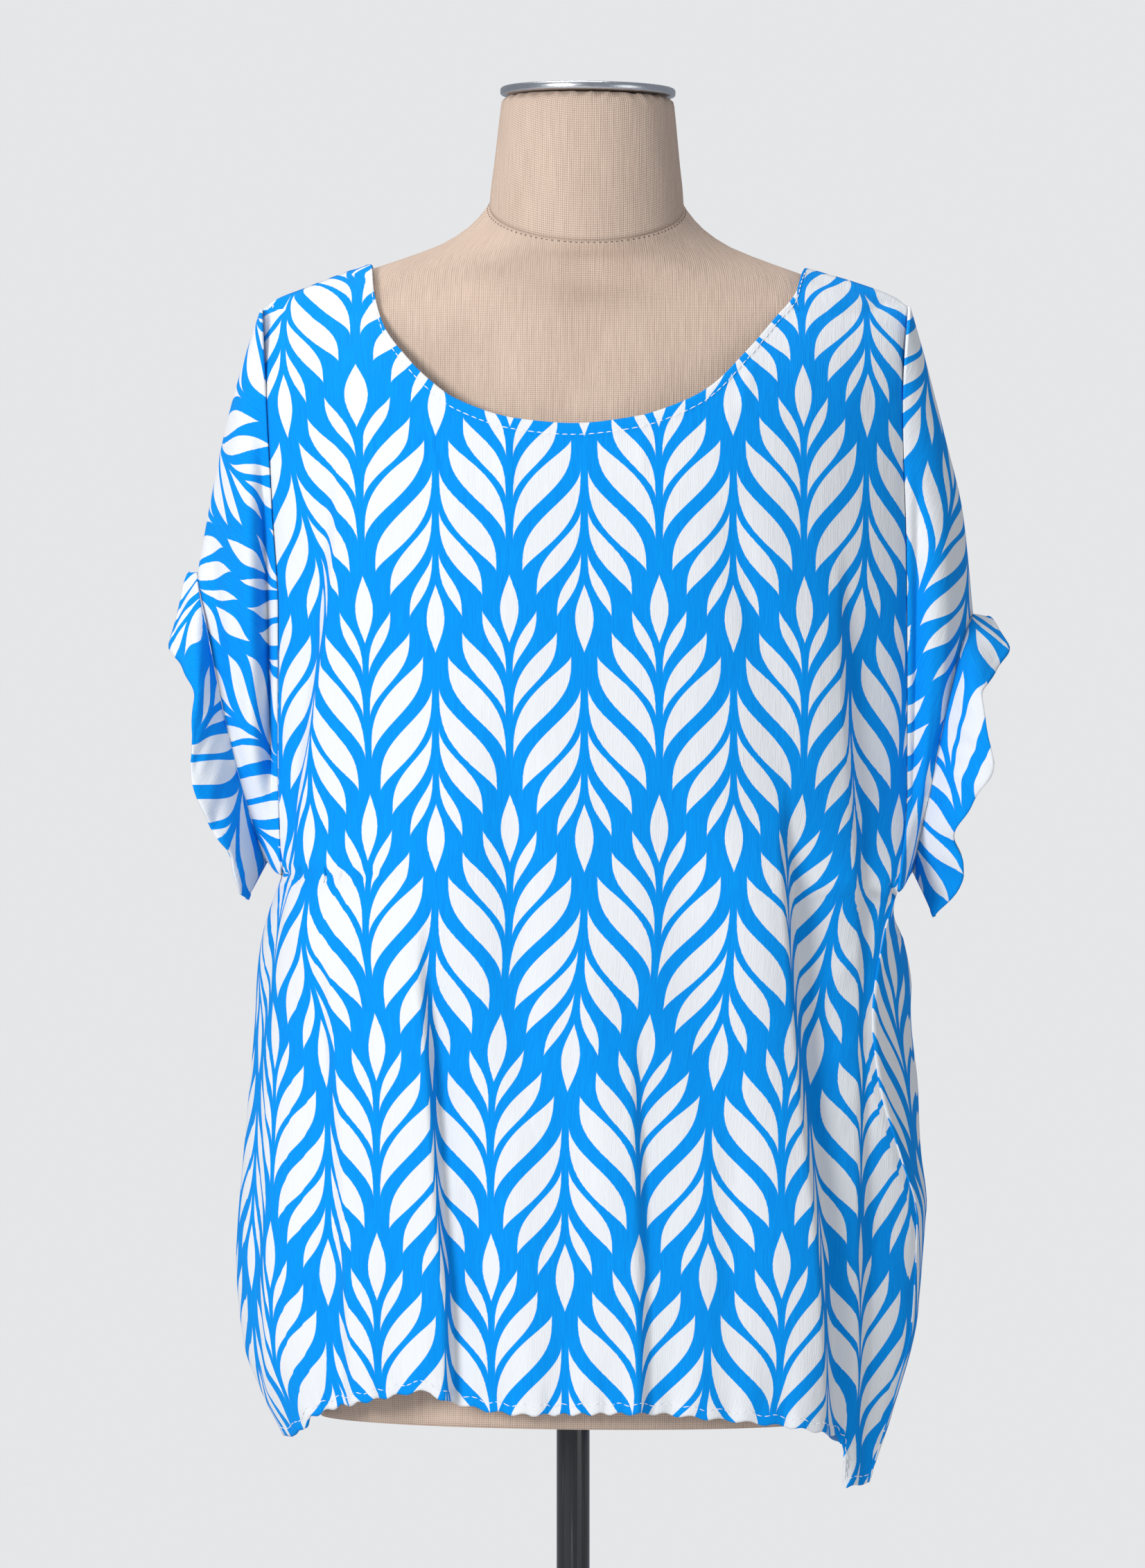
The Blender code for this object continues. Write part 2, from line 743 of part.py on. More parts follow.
def add_blouse():
    print_cloth = material("printed viscose", (0.10, 0.42, 0.85), 0.75)
    add_cloth("front", panel(-1.0, *FRONT_GRID), False, print_cloth)
    add_cloth("back", panel(1.0, *BACK_GRID), False, print_cloth)
    for side, name in ((-1.0, "left"), (1.0, "right")):
        add_cloth("sleeve_" + name, sleeve(side, *SLEEVE_GRID), True, print_cloth)
        add_cloth("cuff_" + name, cuff(side, *CUFF_GRID), True, print_cloth)


remove_old_objects()
add_stand()
add_form()
add_blouse()
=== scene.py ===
import math

import bpy
import numpy as np
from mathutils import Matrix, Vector


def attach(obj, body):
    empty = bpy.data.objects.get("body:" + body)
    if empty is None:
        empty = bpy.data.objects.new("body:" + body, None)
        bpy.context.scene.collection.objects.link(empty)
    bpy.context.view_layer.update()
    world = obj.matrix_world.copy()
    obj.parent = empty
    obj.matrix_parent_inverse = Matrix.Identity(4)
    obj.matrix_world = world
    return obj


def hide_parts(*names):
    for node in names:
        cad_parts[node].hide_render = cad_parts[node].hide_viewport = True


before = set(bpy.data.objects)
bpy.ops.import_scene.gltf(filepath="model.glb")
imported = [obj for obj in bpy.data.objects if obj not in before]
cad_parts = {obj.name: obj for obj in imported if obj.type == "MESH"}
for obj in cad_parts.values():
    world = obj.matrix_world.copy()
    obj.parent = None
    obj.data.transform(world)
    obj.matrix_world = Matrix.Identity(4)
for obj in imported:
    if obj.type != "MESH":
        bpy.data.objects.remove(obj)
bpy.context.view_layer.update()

# Camera. It looks along +Y from five metres, level with the waist of the form, so that one pixel
# of the full picture is 0.44 mm on the form's axis.
CAMERA_PLACE = (-0.0004, -5.0, 1.142)
CAMERA_LENS = 180.8
SENSOR = 36.0

lens = bpy.data.cameras.new("studio lens")
lens.lens = CAMERA_LENS
lens.sensor_width = SENSOR
camera = bpy.data.objects.new("studio camera", lens)
camera.location = CAMERA_PLACE
camera.rotation_euler = (math.pi / 2, 0.0, 0.0)
bpy.context.scene.collection.objects.link(camera)
bpy.context.scene.camera = camera


# Base plate and post. A round steel plate and a straight steel tube, both lacquered black. The
# post stands in the plate and carries the form. Both are the rigid solids of the frame.
BLACK_LACQUER = (0.012, 0.012, 0.014)
LACQUER_SCRATCH = (0.05, 0.05, 0.055)


def new_finish(name, roughness, metallic=0.0):
    made = bpy.data.materials.new(name)
    made.use_nodes = True
    shader = made.node_tree.nodes["Principled BSDF"]
    shader.inputs["Roughness"].default_value = roughness
    shader.inputs["Metallic"].default_value = metallic
    return made, made.node_tree, shader


def feed(tree, socket, value):
    if isinstance(value, (int, float)):
        socket.default_value = value
    elif isinstance(value, tuple):
        socket.default_value = value if len(value) == len(socket.default_value) else (*value, 1.0)
    else:
        tree.links.new(value, socket)


def maths(tree, operation, *values, clamp=False):
    node = tree.nodes.new("ShaderNodeMath")
    node.operation = operation
    node.use_clamp = clamp
    for socket, value in zip(node.inputs, values):
        feed(tree, socket, value)
    return node.outputs[0]


def blend_colour(tree, factor, first, second):
    node = tree.nodes.new("ShaderNodeMix")
    node.data_type = "RGBA"
    feed(tree, node.inputs["Factor"], factor)
    feed(tree, node.inputs["A"], first)
    feed(tree, node.inputs["B"], second)
    return node.outputs["Result"]


def stretched(tree, place, scale):
    node = tree.nodes.new("ShaderNodeMapping")
    node.inputs["Scale"].default_value = scale
    feed(tree, node.inputs["Vector"], place)
    return node.outputs["Vector"]


def noise(tree, place, scale, detail=3.0):
    node = tree.nodes.new("ShaderNodeTexNoise")
    node.inputs["Scale"].default_value = scale
    node.inputs["Detail"].default_value = detail
    feed(tree, node.inputs["Vector"], place)
    return node.outputs["Fac"]


def spread_out(tree, value, low, high):
    node = tree.nodes.new("ShaderNodeMapRange")
    node.inputs["From Min"].default_value = low
    node.inputs["From Max"].default_value = high
    feed(tree, node.inputs["Value"], value)
    return node.outputs["Result"]


def bump(tree, shader, height, distance, strength=1.0):
    node = tree.nodes.new("ShaderNodeBump")
    node.inputs["Distance"].default_value = distance
    node.inputs["Strength"].default_value = strength
    feed(tree, node.inputs["Height"], height)
    tree.links.new(node.outputs["Normal"], shader.inputs["Normal"])


def object_place(tree):
    return tree.nodes.new("ShaderNodeTexCoord").outputs["Object"]


lacquer, tree, shader = new_finish("black lacquer", 0.22)
shader.inputs["Coat Weight"].default_value = 0.6
shader.inputs["Coat Roughness"].default_value = 0.08
scratch_place = stretched(tree, object_place(tree), (900.0, 900.0, 14.0))
dust = spread_out(tree, noise(tree, scratch_place, 1.0), 0.55, 0.80)
feed(tree, shader.inputs["Base Color"], blend_colour(tree, dust, BLACK_LACQUER, LACQUER_SCRATCH))
feed(tree, shader.inputs["Roughness"], maths(tree, "MULTIPLY_ADD", dust, 0.20, 0.20))
for node_name in ("base", "post"):
    solid = bpy.data.objects[node_name]
    for place in solid.material_slots:
        place.material = lacquer


# Dress form. A hard moulded torso and neck without limbs, covered in stretched plain-weave linen.
# The neck is a separate tube of the same linen, sewn on round a tilted seam with dark thread.
FORM_BOTTOM = 0.740
FORM_LEAN = math.radians(0.64)
NECK_SEAM_TILT = 0.43
FORM_SIDES = 144
FORM_ROW = 0.005
LINEN_LIGHT = (0.82, 0.645, 0.515)
LINEN_DARK = (0.29, 0.19, 0.14)
LINEN_SPECK = (0.24, 0.27, 0.33)
LINEN_THREAD = 0.0014
PUCKERS_UNDER_CAP = 30
PUCKER_DIP = 0.0016
PUCKER_DEPTH = 0.012
PUCKER_FADE = 0.010

# Rows of the torso: height, half width, depth to the front, depth to the back, tilt
TORSO = (
    (0.740, 0.160, 0.097, 0.103, 0.00),
    (0.760, 0.167, 0.102, 0.109, 0.00),
    (0.820, 0.172, 0.106, 0.114, 0.00),
    (0.880, 0.170, 0.104, 0.114, 0.00),
    (0.960, 0.157, 0.094, 0.102, 0.00),
    (1.040, 0.142, 0.083, 0.087, 0.00),
    (1.090, 0.138, 0.080, 0.080, 0.00),
    (1.150, 0.147, 0.088, 0.083, 0.00),
    (1.210, 0.159, 0.103, 0.090, 0.00),
    (1.260, 0.168, 0.113, 0.096, 0.00),
    (1.310, 0.175, 0.111, 0.099, 0.00),
    (1.360, 0.182, 0.097, 0.098, 0.00),
    (1.400, 0.190, 0.081, 0.091, 0.00),
    (1.425, 0.195, 0.069, 0.081, 0.00),
    (1.440, 0.190, 0.060, 0.071, 0.01),
    (1.449, 0.179, 0.053, 0.063, 0.03),
    (1.456, 0.160, 0.049, 0.058, 0.05),
    (1.4625, 0.146, 0.047, 0.055, 0.08),
    (1.4676, 0.1355, 0.047, 0.054, 0.11),
    (1.4745, 0.1150, 0.048, 0.054, 0.15),
    (1.4835, 0.0910, 0.050, 0.054, 0.22),
    (1.4945, 0.0735, 0.054, 0.055, 0.33),
    (1.5075, 0.0617, 0.058, 0.057, NECK_SEAM_TILT),
)

# Rows of the neck: height, half width, depth to the front, depth to the back, tilt
NECK = (
    (1.5078, 0.0617, 0.058, 0.057, NECK_SEAM_TILT),
    (1.520, 0.0608, 0.057, 0.056, 0.33),
    (1.535, 0.0590, 0.056, 0.055, 0.20),
    (1.552, 0.0572, 0.055, 0.054, 0.08),
    (1.568, 0.0555, 0.054, 0.053, 0.01),
    (1.576, 0.0543, 0.053, 0.052, 0.00),
    (1.5785, 0.0515, 0.050, 0.050, 0.00),
)


def smooth(stations, values, at):
    """Cubic curve through a short table that never swings past its rows."""
    stations = np.asarray(stations, float)
    values = np.asarray(values, float)
    if stations[0] > stations[-1]:
        stations, values = stations[::-1], values[::-1]
    step = np.diff(stations)
    slope = np.diff(values) / step
    tangent = np.empty_like(values)
    tangent[0], tangent[-1] = slope[0], slope[-1]
    before, after = slope[:-1], slope[1:]
    same_way = before * after > 0
    mean = 2 * before * after / np.where(same_way, before + after, 1.0)
    tangent[1:-1] = np.where(same_way, mean, 0.0)
    at = np.clip(np.asarray(at, float), stations[0], stations[-1])
    row = np.clip(np.searchsorted(stations, at) - 1, 0, len(step) - 1)
    f = (at - stations[row]) / step[row]
    from_start = (1 + 2 * f) * (1 - f) ** 2 * values[row] + f * (1 - f) ** 2 * step[row] * tangent[row]
    from_end = f * f * (3 - 2 * f) * values[row + 1] + f * f * (f - 1) * step[row] * tangent[row + 1]
    return from_start + from_end


def column(table, number):
    return [row[number] for row in table]


def ease(value):
    value = np.clip(value, 0.0, 1.0)
    return value * value * (3 - 2 * value)


def lean(points):
    """Turns points of the upright form about Y, at the foot of the form."""
    moved = np.array(points, float)
    x, up = moved[..., 0].copy(), moved[..., 2] - FORM_BOTTOM
    moved[..., 0] = x * math.cos(FORM_LEAN) + up * math.sin(FORM_LEAN)
    moved[..., 2] = FORM_BOTTOM - x * math.sin(FORM_LEAN) + up * math.cos(FORM_LEAN)
    return moved


def add_mesh(name, points, faces, finishes):
    mesh = bpy.data.meshes.new(name)
    mesh.from_pydata([tuple(map(float, point)) for point in points], [], faces)
    for finish in finishes:
        mesh.materials.append(finish)
    mesh.shade_smooth()
    made = bpy.data.objects.new(name, mesh)
    bpy.context.scene.collection.objects.link(made)
    return made


def grid_faces(across, down, closed):
    """Quads of a grid whose points run across first. A closed grid joins its last column to its first."""
    wide = across if closed else across + 1
    faces = []
    for j in range(down):
        for i in range(across):
            k = (i + 1) % wide
            faces.append((j * wide + i, j * wide + k, (j + 1) * wide + k, (j + 1) * wide + i))
    return faces


def ringed_faces(wide, rows):
    """Faces of a solid of closed rings, flat at both ends."""
    faces = grid_faces(wide, rows - 1, True)
    faces.append(tuple(range(wide))[::-1])
    faces.append(tuple(range((rows - 1) * wide, rows * wide)))
    return faces


def lay_cloth_map(piece, across, down, u, v):
    """Cloth coordinates in metres, so that weave and print keep their real size. u and v have one
    column more than a closed grid, for the far side of its joining seam."""
    layer = piece.data.uv_layers.new(name="cloth")
    flat = np.zeros((len(piece.data.loops), 2))
    corners = [(0, 0), (1, 0), (1, 1), (0, 1)]
    number = 0
    for j in range(down):
        for i in range(across):
            for right, below in corners:
                flat[number] = (u[j + below, i + right], v[j + below, i + right])
                number += 1
    layer.data.foreach_set("uv", flat.ravel())


def lengths_along(grid):
    """Distance run along each row of a grid of points."""
    step = np.linalg.norm(np.diff(grid, axis=1), axis=2)
    return np.concatenate([np.zeros((grid.shape[0], 1)), np.cumsum(step, axis=1)], axis=1)


def form_rings(table, row_step, puckers=0):
    """Oval rings at close heights. Angle 0 is the middle of the back, and they close there."""
    span = table[-1][0] - table[0][0]
    count = int(round(span / row_step))
    heights = table[0][0] + span * np.linspace(0.0, 1.0, count + 1)
    angles = np.arange(FORM_SIDES) * 2 * math.pi / FORM_SIDES + math.pi / 2
    rings = []
    for height in heights:
        half, front, back, tilt = [smooth(column(table, 0), column(table, k), height) for k in (1, 2, 3, 4)]
        near_top = ease(1 - (table[-1][0] - height) / PUCKER_FADE)
        uneven = np.sin(puckers * angles + 1.3 * np.sin(5 * angles))
        ripple = 1 + PUCKER_DEPTH * near_top * uneven * (puckers > 0)
        x = half * np.cos(angles) * ripple
        y = np.where(np.sin(angles) < 0, front, back) * np.sin(angles) * ripple
        dip = PUCKER_DIP * near_top * (1 + 0.6 * np.sin(puckers * angles + 0.4)) * (puckers > 0)
        rings.append(np.stack([x, y, height + tilt * y - dip], axis=1))
    return lean(np.array(rings))


def add_form_piece(name, rings, finish):
    rows, wide = rings.shape[0], rings.shape[1]
    piece = add_mesh(name, rings.reshape(-1, 3), ringed_faces(wide, rows), [finish])
    round_trip = np.concatenate([rings, rings[:, :1]], axis=1)
    u = lengths_along(round_trip)
    v = lengths_along(round_trip.transpose(1, 0, 2)).T
    lay_cloth_map(piece, wide, rows - 1, u - u[:, -1:] / 2, v)
    return piece


linen, tree, shader = new_finish("linen cover", 0.88)
shader.inputs["Specular IOR Level"].default_value = 0.2
shader.inputs["Sheen Weight"].default_value = 0.04
cloth_map = tree.nodes.new("ShaderNodeUVMap")
cloth_map.uv_map = "cloth"
linen_place = cloth_map.outputs["UV"]
axes = tree.nodes.new("ShaderNodeSeparateXYZ")
feed(tree, axes.inputs[0], linen_place)
slants = [maths(tree, way, axes.outputs["X"], axes.outputs["Y"]) for way in ("ADD", "SUBTRACT")]
warp, weft = [maths(tree, "SINE", maths(tree, "MULTIPLY", slant, math.pi / LINEN_THREAD)) for slant in slants]
mesh_pattern = maths(tree, "MULTIPLY_ADD", maths(tree, "MULTIPLY", warp, weft), 0.5, 0.5)
streaks = spread_out(tree, noise(tree, stretched(tree, linen_place, (900.0, 35.0, 1.0)), 1.0), 0.35, 0.68)
patches = spread_out(tree, noise(tree, stretched(tree, linen_place, (30.0, 12.0, 1.0)), 1.0), 0.3, 0.7)
thread_light = maths(tree, "MULTIPLY_ADD", mesh_pattern, 0.66, 0.09)
thread_light = maths(tree, "MULTIPLY_ADD", streaks, 0.14, thread_light)
thread_light = maths(tree, "MULTIPLY_ADD", patches, 0.10, thread_light)
linen_colour = blend_colour(tree, thread_light, LINEN_DARK, LINEN_LIGHT)
speck_noise = noise(tree, stretched(tree, linen_place, (1300.0, 700.0, 1.0)), 1.0, 1.0)
specks = maths(tree, "MULTIPLY", spread_out(tree, speck_noise, 0.66, 0.74), 0.55)
feed(tree, shader.inputs["Base Color"], blend_colour(tree, specks, linen_colour, LINEN_SPECK))
bump(tree, shader, maths(tree, "ADD", mesh_pattern, streaks), 0.00025, 0.7)

body_rings = form_rings(TORSO, FORM_ROW)
neck_rings = form_rings(NECK, FORM_ROW / 2, PUCKERS_UNDER_CAP)
form_body = add_form_piece("dress_form_torso", body_rings, linen)
form_neck = add_form_piece("dress_form_neck", neck_rings, linen)
for piece, node_name in ((form_body, "form_body"), (form_neck, "form_neck")):
    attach(piece, "root")
    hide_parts(node_name)


# Neck seam. Dark thread in short dashes, hand-sewn round the foot of the neck where its tube
# meets the linen of the torso.
SEAM_DASH = 0.0017
SEAM_SPACE = 0.0021
SEAM_THREAD = 0.0006
SEAM_RISE = 0.75
DASH_SIDES = 6
# Width of a stitch along its length and how far it sinks in, as shares of its thread
DASH_WIDTHS = (0.35, 0.9, 1.0, 0.9, 0.35)
DASH_SINKS = (0.45, 0.05, 0.0, 0.05, 0.45)
DASH_FLATNESS = 0.8


def row_normals(grid, row, closed):
    """Outward unit normals of one row of a grid of points."""
    if closed:
        along = np.roll(grid[row], -1, axis=0) - np.roll(grid[row], 1, axis=0)
    else:
        along = np.gradient(grid[row], axis=0)
    before, after = max(row - 1, 0), min(row + 1, grid.shape[0] - 1)
    normal = np.cross(along, grid[after] - grid[before])
    return normal / np.linalg.norm(normal, axis=1, keepdims=True)


def add_dashes(name, path, normals, dash, space, thickness, finish, seed=5):
    """A row of short stitches that lie on a path. Their lengths and gaps vary a little."""
    draw = np.random.default_rng(seed)
    distance = np.concatenate([[0.0], np.cumsum(np.linalg.norm(np.diff(path, axis=0), axis=1))])
    points, faces = [], []
    place = space / 2
    while place + dash < distance[-1]:
        length = dash * draw.uniform(0.82, 1.12)
        at = place + np.linspace(0.0, length, len(DASH_WIDTHS))
        centre = np.stack([np.interp(at, distance, path[:, k]) for k in range(3)], axis=1)
        out = np.stack([np.interp(at, distance, normals[:, k]) for k in range(3)], axis=1)
        out /= np.linalg.norm(out, axis=1, keepdims=True)
        along = np.gradient(centre, axis=0)
        across = np.cross(along, out)
        across /= np.linalg.norm(across, axis=1, keepdims=True)
        radius = thickness / 2 * np.array(DASH_WIDTHS)
        sink = thickness * np.array(DASH_SINKS)
        first = len(points)
        for ring in range(len(DASH_WIDTHS)):
            for side in range(DASH_SIDES):
                turn = 2 * math.pi * side / DASH_SIDES
                lift = math.sin(turn) * DASH_FLATNESS * radius[ring] + radius[ring] - sink[ring]
                offset = math.cos(turn) * across[ring] * radius[ring] + lift * out[ring]
                points.append(centre[ring] + offset)
        faces += [tuple(first + k for k in face) for face in ringed_faces(DASH_SIDES, len(DASH_WIDTHS))]
        place += length + space * draw.uniform(0.85, 1.2)
    return add_mesh(name, points, faces, [finish])


dark_thread, tree, shader = new_finish("dark thread", 0.7)
twist = noise(tree, stretched(tree, object_place(tree), (1800.0, 1800.0, 1800.0)), 1.0)
feed(tree, shader.inputs["Base Color"], blend_colour(tree, twist, (0.07, 0.05, 0.045), (0.16, 0.11, 0.09)))

seam_row = body_rings.shape[0] - 2
seam_loop = (1 - SEAM_RISE) * body_rings[seam_row] + SEAM_RISE * body_rings[-1]
seam_path = np.concatenate([seam_loop, seam_loop[:1]])
seam_normals = row_normals(body_rings, seam_row, True)
seam_normals = np.concatenate([seam_normals, seam_normals[:1]])
neck_seam = add_dashes(
    "neck_seam_stitches",
    seam_path,
    seam_normals,
    SEAM_DASH,
    SEAM_SPACE,
    SEAM_THREAD,
    dark_thread,
)
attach(neck_seam, "root")


# Neck cap. A thin disc of brushed stainless steel with an eased rim, screwed down on the top of
# the neck. It overhangs the gathered linen a little.
CAP_RADIUS = 0.0556
CAP_BOTTOM = 1.5788
CAP_THICKNESS = 0.0050
CAP_SIDES = 160
STEEL_LIGHT = (0.72, 0.73, 0.75)
STEEL_DARK = (0.42, 0.43, 0.46)

steel, tree, shader = new_finish("brushed steel", 0.26, 1.0)
brushing = noise(tree, stretched(tree, object_place(tree), (60.0, 2600.0, 2600.0)), 1.0, 2.0)
feed(tree, shader.inputs["Base Color"], blend_colour(tree, brushing, STEEL_DARK, STEEL_LIGHT))
feed(tree, shader.inputs["Roughness"], maths(tree, "MULTIPLY_ADD", brushing, 0.22, 0.16))
bump(tree, shader, brushing, 0.0001, 0.35)

cap_angles = np.arange(CAP_SIDES) * 2 * math.pi / CAP_SIDES
cap_profile = (
    (CAP_RADIUS - 0.0200, 0.0),
    (CAP_RADIUS - 0.0012, 0.0),
    (CAP_RADIUS - 0.0004, 0.0004),
    (CAP_RADIUS, 0.0012),
    (CAP_RADIUS, CAP_THICKNESS - 0.0014),
    (CAP_RADIUS - 0.0005, CAP_THICKNESS - 0.0005),
    (CAP_RADIUS - 0.0014, CAP_THICKNESS),
    (CAP_RADIUS - 0.0040, CAP_THICKNESS),
)
cap_rings = []
for radius, rise in cap_profile:
    flat_ring = np.stack([radius * np.cos(cap_angles), radius * np.sin(cap_angles)], axis=1)
    cap_rings.append(np.column_stack([flat_ring, np.full(CAP_SIDES, CAP_BOTTOM + rise)]))
cap_rings = lean(np.array(cap_rings))
cap_faces = ringed_faces(CAP_SIDES, len(cap_profile))
cap = add_mesh("neck_cap_disc", cap_rings.reshape(-1, 3), cap_faces, [steel])
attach(cap, "root")
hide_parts("neck_cap")


# Front of the blouse. One wide panel of light printed viscose, sewn to the back at the shoulders
# and down the sides, with a narrow turned hem at the neck and at the bottom.
CLOTH = 0.0009
HEM_CLOTH = 0.0018
NECK_HEM = 0.0076
BOTTOM_HEM = 0.0060
HEM_FADE = 0.0012
SHOULDER_GAP = 0.0006
SHOULDER_MARGIN = 0.0005
SIDE_GAP = 0.0009
CLOTH_CLEAR = 0.0022
SHOULDER_ROUND = 0.075
FRONT_GRID = (270, 174)
MAP_FINENESS = 3
# Heights at which a panel is measured across, the height its length is counted from, and where
# its shoulders part from the neck
MAP_LEVELS = (0.690, 1.480, 0.002)
MAP_CHEST = 1.200
MAP_SHOULDERS = (-0.150, 0.150)
MAP_BELOW_NECK = 0.006
AZURE = (0.001, 0.292, 0.805)
AZURE_DEEP = (0.001, 0.240, 0.735)
PAPER_WHITE = (0.80, 0.815, 0.83)
REVERSE_AZURE = (0.12, 0.34, 0.76)
REVERSE_WHITE = (0.76, 0.78, 0.81)

# Print, in millimetres: columns of leaf sprigs that point up, and the same upside down between
COLUMN_SPACING = 92.8
REPEAT = 136.0
COLUMN_START = -39.5
BUD_FOOT = 1229.0
TURNED_FOOT = 36.9
BUD_LENGTH = 43.0
BUD_HALF = 5.8
BUD_POINT = 1.15
# Leaves of one sprig: foot x, foot y, tip x, tip y, from the foot of its bud
LEAVES = ((2.0, -20.7, 16.9, 21.0), (2.2, -47.0, 29.5, 7.6), (2.2, -73.2, 38.4, -7.4))
# How the two edges of a leaf swing out from the stem and back up to the tip
LEAF_INNER = (3.2, 1.6)
LEAF_OUTER = (2.0, 3.9)
PRINT_EDGE = 0.30
# How far a sprig reaches below the foot of its bud
SPRIG_BELOW = 80.0
# How far the noise moves the print
PRINT_WOBBLE = 0.5

# Neck edge of the front panel: x, height
NECKLINE = (
    (-0.1285, 1.4715),
    (-0.1253, 1.4515),
    (-0.1187, 1.4294),
    (-0.1035, 1.4082),
    (-0.0906, 1.3949),
    (-0.0731, 1.3818),
    (-0.0358, 1.3692),
    (0.0004, 1.3660),
    (0.0388, 1.3703),
    (0.0635, 1.3780),
    (0.0835, 1.3883),
    (0.1086, 1.4128),
    (0.1264, 1.4339),
    (0.1397, 1.4504),
    (0.1478, 1.4690),
)
BACK_NECK_DROP = 0.034
BACK_NECK_FULLNESS = 0.7

# Shoulder seams from the neck outwards: x, height
SHOULDER_RIGHT = (
    (0.1478, 1.4690),
    (0.1602, 1.4658),
    (0.1857, 1.4580),
    (0.2037, 1.4510),
    (0.2121, 1.4449),
)
SHOULDER_LEFT = (
    (-0.1285, 1.4715),
    (-0.1500, 1.4645),
    (-0.1703, 1.4565),
    (-0.1880, 1.4495),
    (-0.1965, 1.4430),
)

# Armhole seams: height, x
ARMHOLE_RIGHT = (
    (1.4449, 0.2121),
    (1.4112, 0.2085),
    (1.3742, 0.2067),
    (1.2840, 0.2087),
    (1.1413, 0.2095),
    (1.0747, 0.2030),
)
ARMHOLE_LEFT = (
    (1.4430, -0.1965),
    (1.3977, -0.1933),
    (1.3075, -0.1880),
    (1.2517, -0.1846),
    (1.1566, -0.1850),
    (1.0850, -0.1830),
)
ARMHOLE_HALF_DEPTH = 0.055
RING_FULLNESS = 0.68
SWEEP_START = 0.70

# Side seams from the underarm down: height, x, y
SIDE_RIGHT = (
    (1.0747, 0.2030, -0.058),
    (1.0488, 0.1952, -0.060),
    (0.9967, 0.1876, -0.064),
    (0.9568, 0.1915, -0.062),
    (0.9095, 0.2050, -0.052),
    (0.8695, 0.2163, -0.040),
    (0.8069, 0.2137, -0.036),
    (0.7450, 0.1990, -0.036),
    (0.7020, 0.1860, -0.036),
)
SIDE_LEFT = (
    (1.0850, -0.1830, -0.030),
    (1.0500, -0.1955, -0.010),
    (1.0250, -0.2000, 0.002),
    (0.9961, -0.2015, 0.008),
    (0.9033, -0.2094, 0.010),
    (0.8413, -0.2138, 0.010),
    (0.7889, -0.2094, 0.010),
    (0.7533, -0.1962, 0.006),
    (0.7282, -0.1825, 0.000),
)

# How far the back panel swells past the right side seam: height, swell
SWELL = (
    (1.074, 0.000),
    (1.060, 0.010),
    (1.043, 0.025),
    (1.010, 0.037),
    (0.960, 0.038),
    (0.910, 0.026),
    (0.860, 0.015),
    (0.803, 0.012),
    (0.740, 0.009),
    (0.702, 0.004),
)

# Depth of the panels at their middle: height, front y, back y
HANG = (
    (1.470, -0.060, 0.070),
    (1.420, -0.083, 0.094),
    (1.366, -0.108, 0.108),
    (1.310, -0.122, 0.112),
    (1.250, -0.127, 0.113),
    (1.150, -0.129, 0.114),
    (1.050, -0.127, 0.116),
    (0.950, -0.126, 0.121),
    (0.850, -0.126, 0.124),
    (0.780, -0.123, 0.121),
    (0.700, -0.112, 0.112),
)

# Hem of the front panel: x, height
FRONT_HEM = (
    (-0.1825, 0.7290),
    (-0.1661, 0.7364),
    (-0.1545, 0.7463),
    (-0.1334, 0.7545),
    (-0.1007, 0.7627),
    (-0.0830, 0.7661),
    (-0.0760, 0.7600),
    (-0.0284, 0.7510),
    (0.0280, 0.7520),
    (0.0843, 0.7468),
    (0.1256, 0.7382),
    (0.1532, 0.7240),
    (0.1704, 0.7000),
    (0.1860, 0.7020),
)

# Hem of the back panel: x, height
BACK_HEM = (
    (-0.1825, 0.7290),
    (-0.1400, 0.7480),
    (-0.0600, 0.7620),
    (0.0200, 0.7600),
    (0.1000, 0.7480),
    (0.1500, 0.7250),
    (0.1860, 0.7020),
)

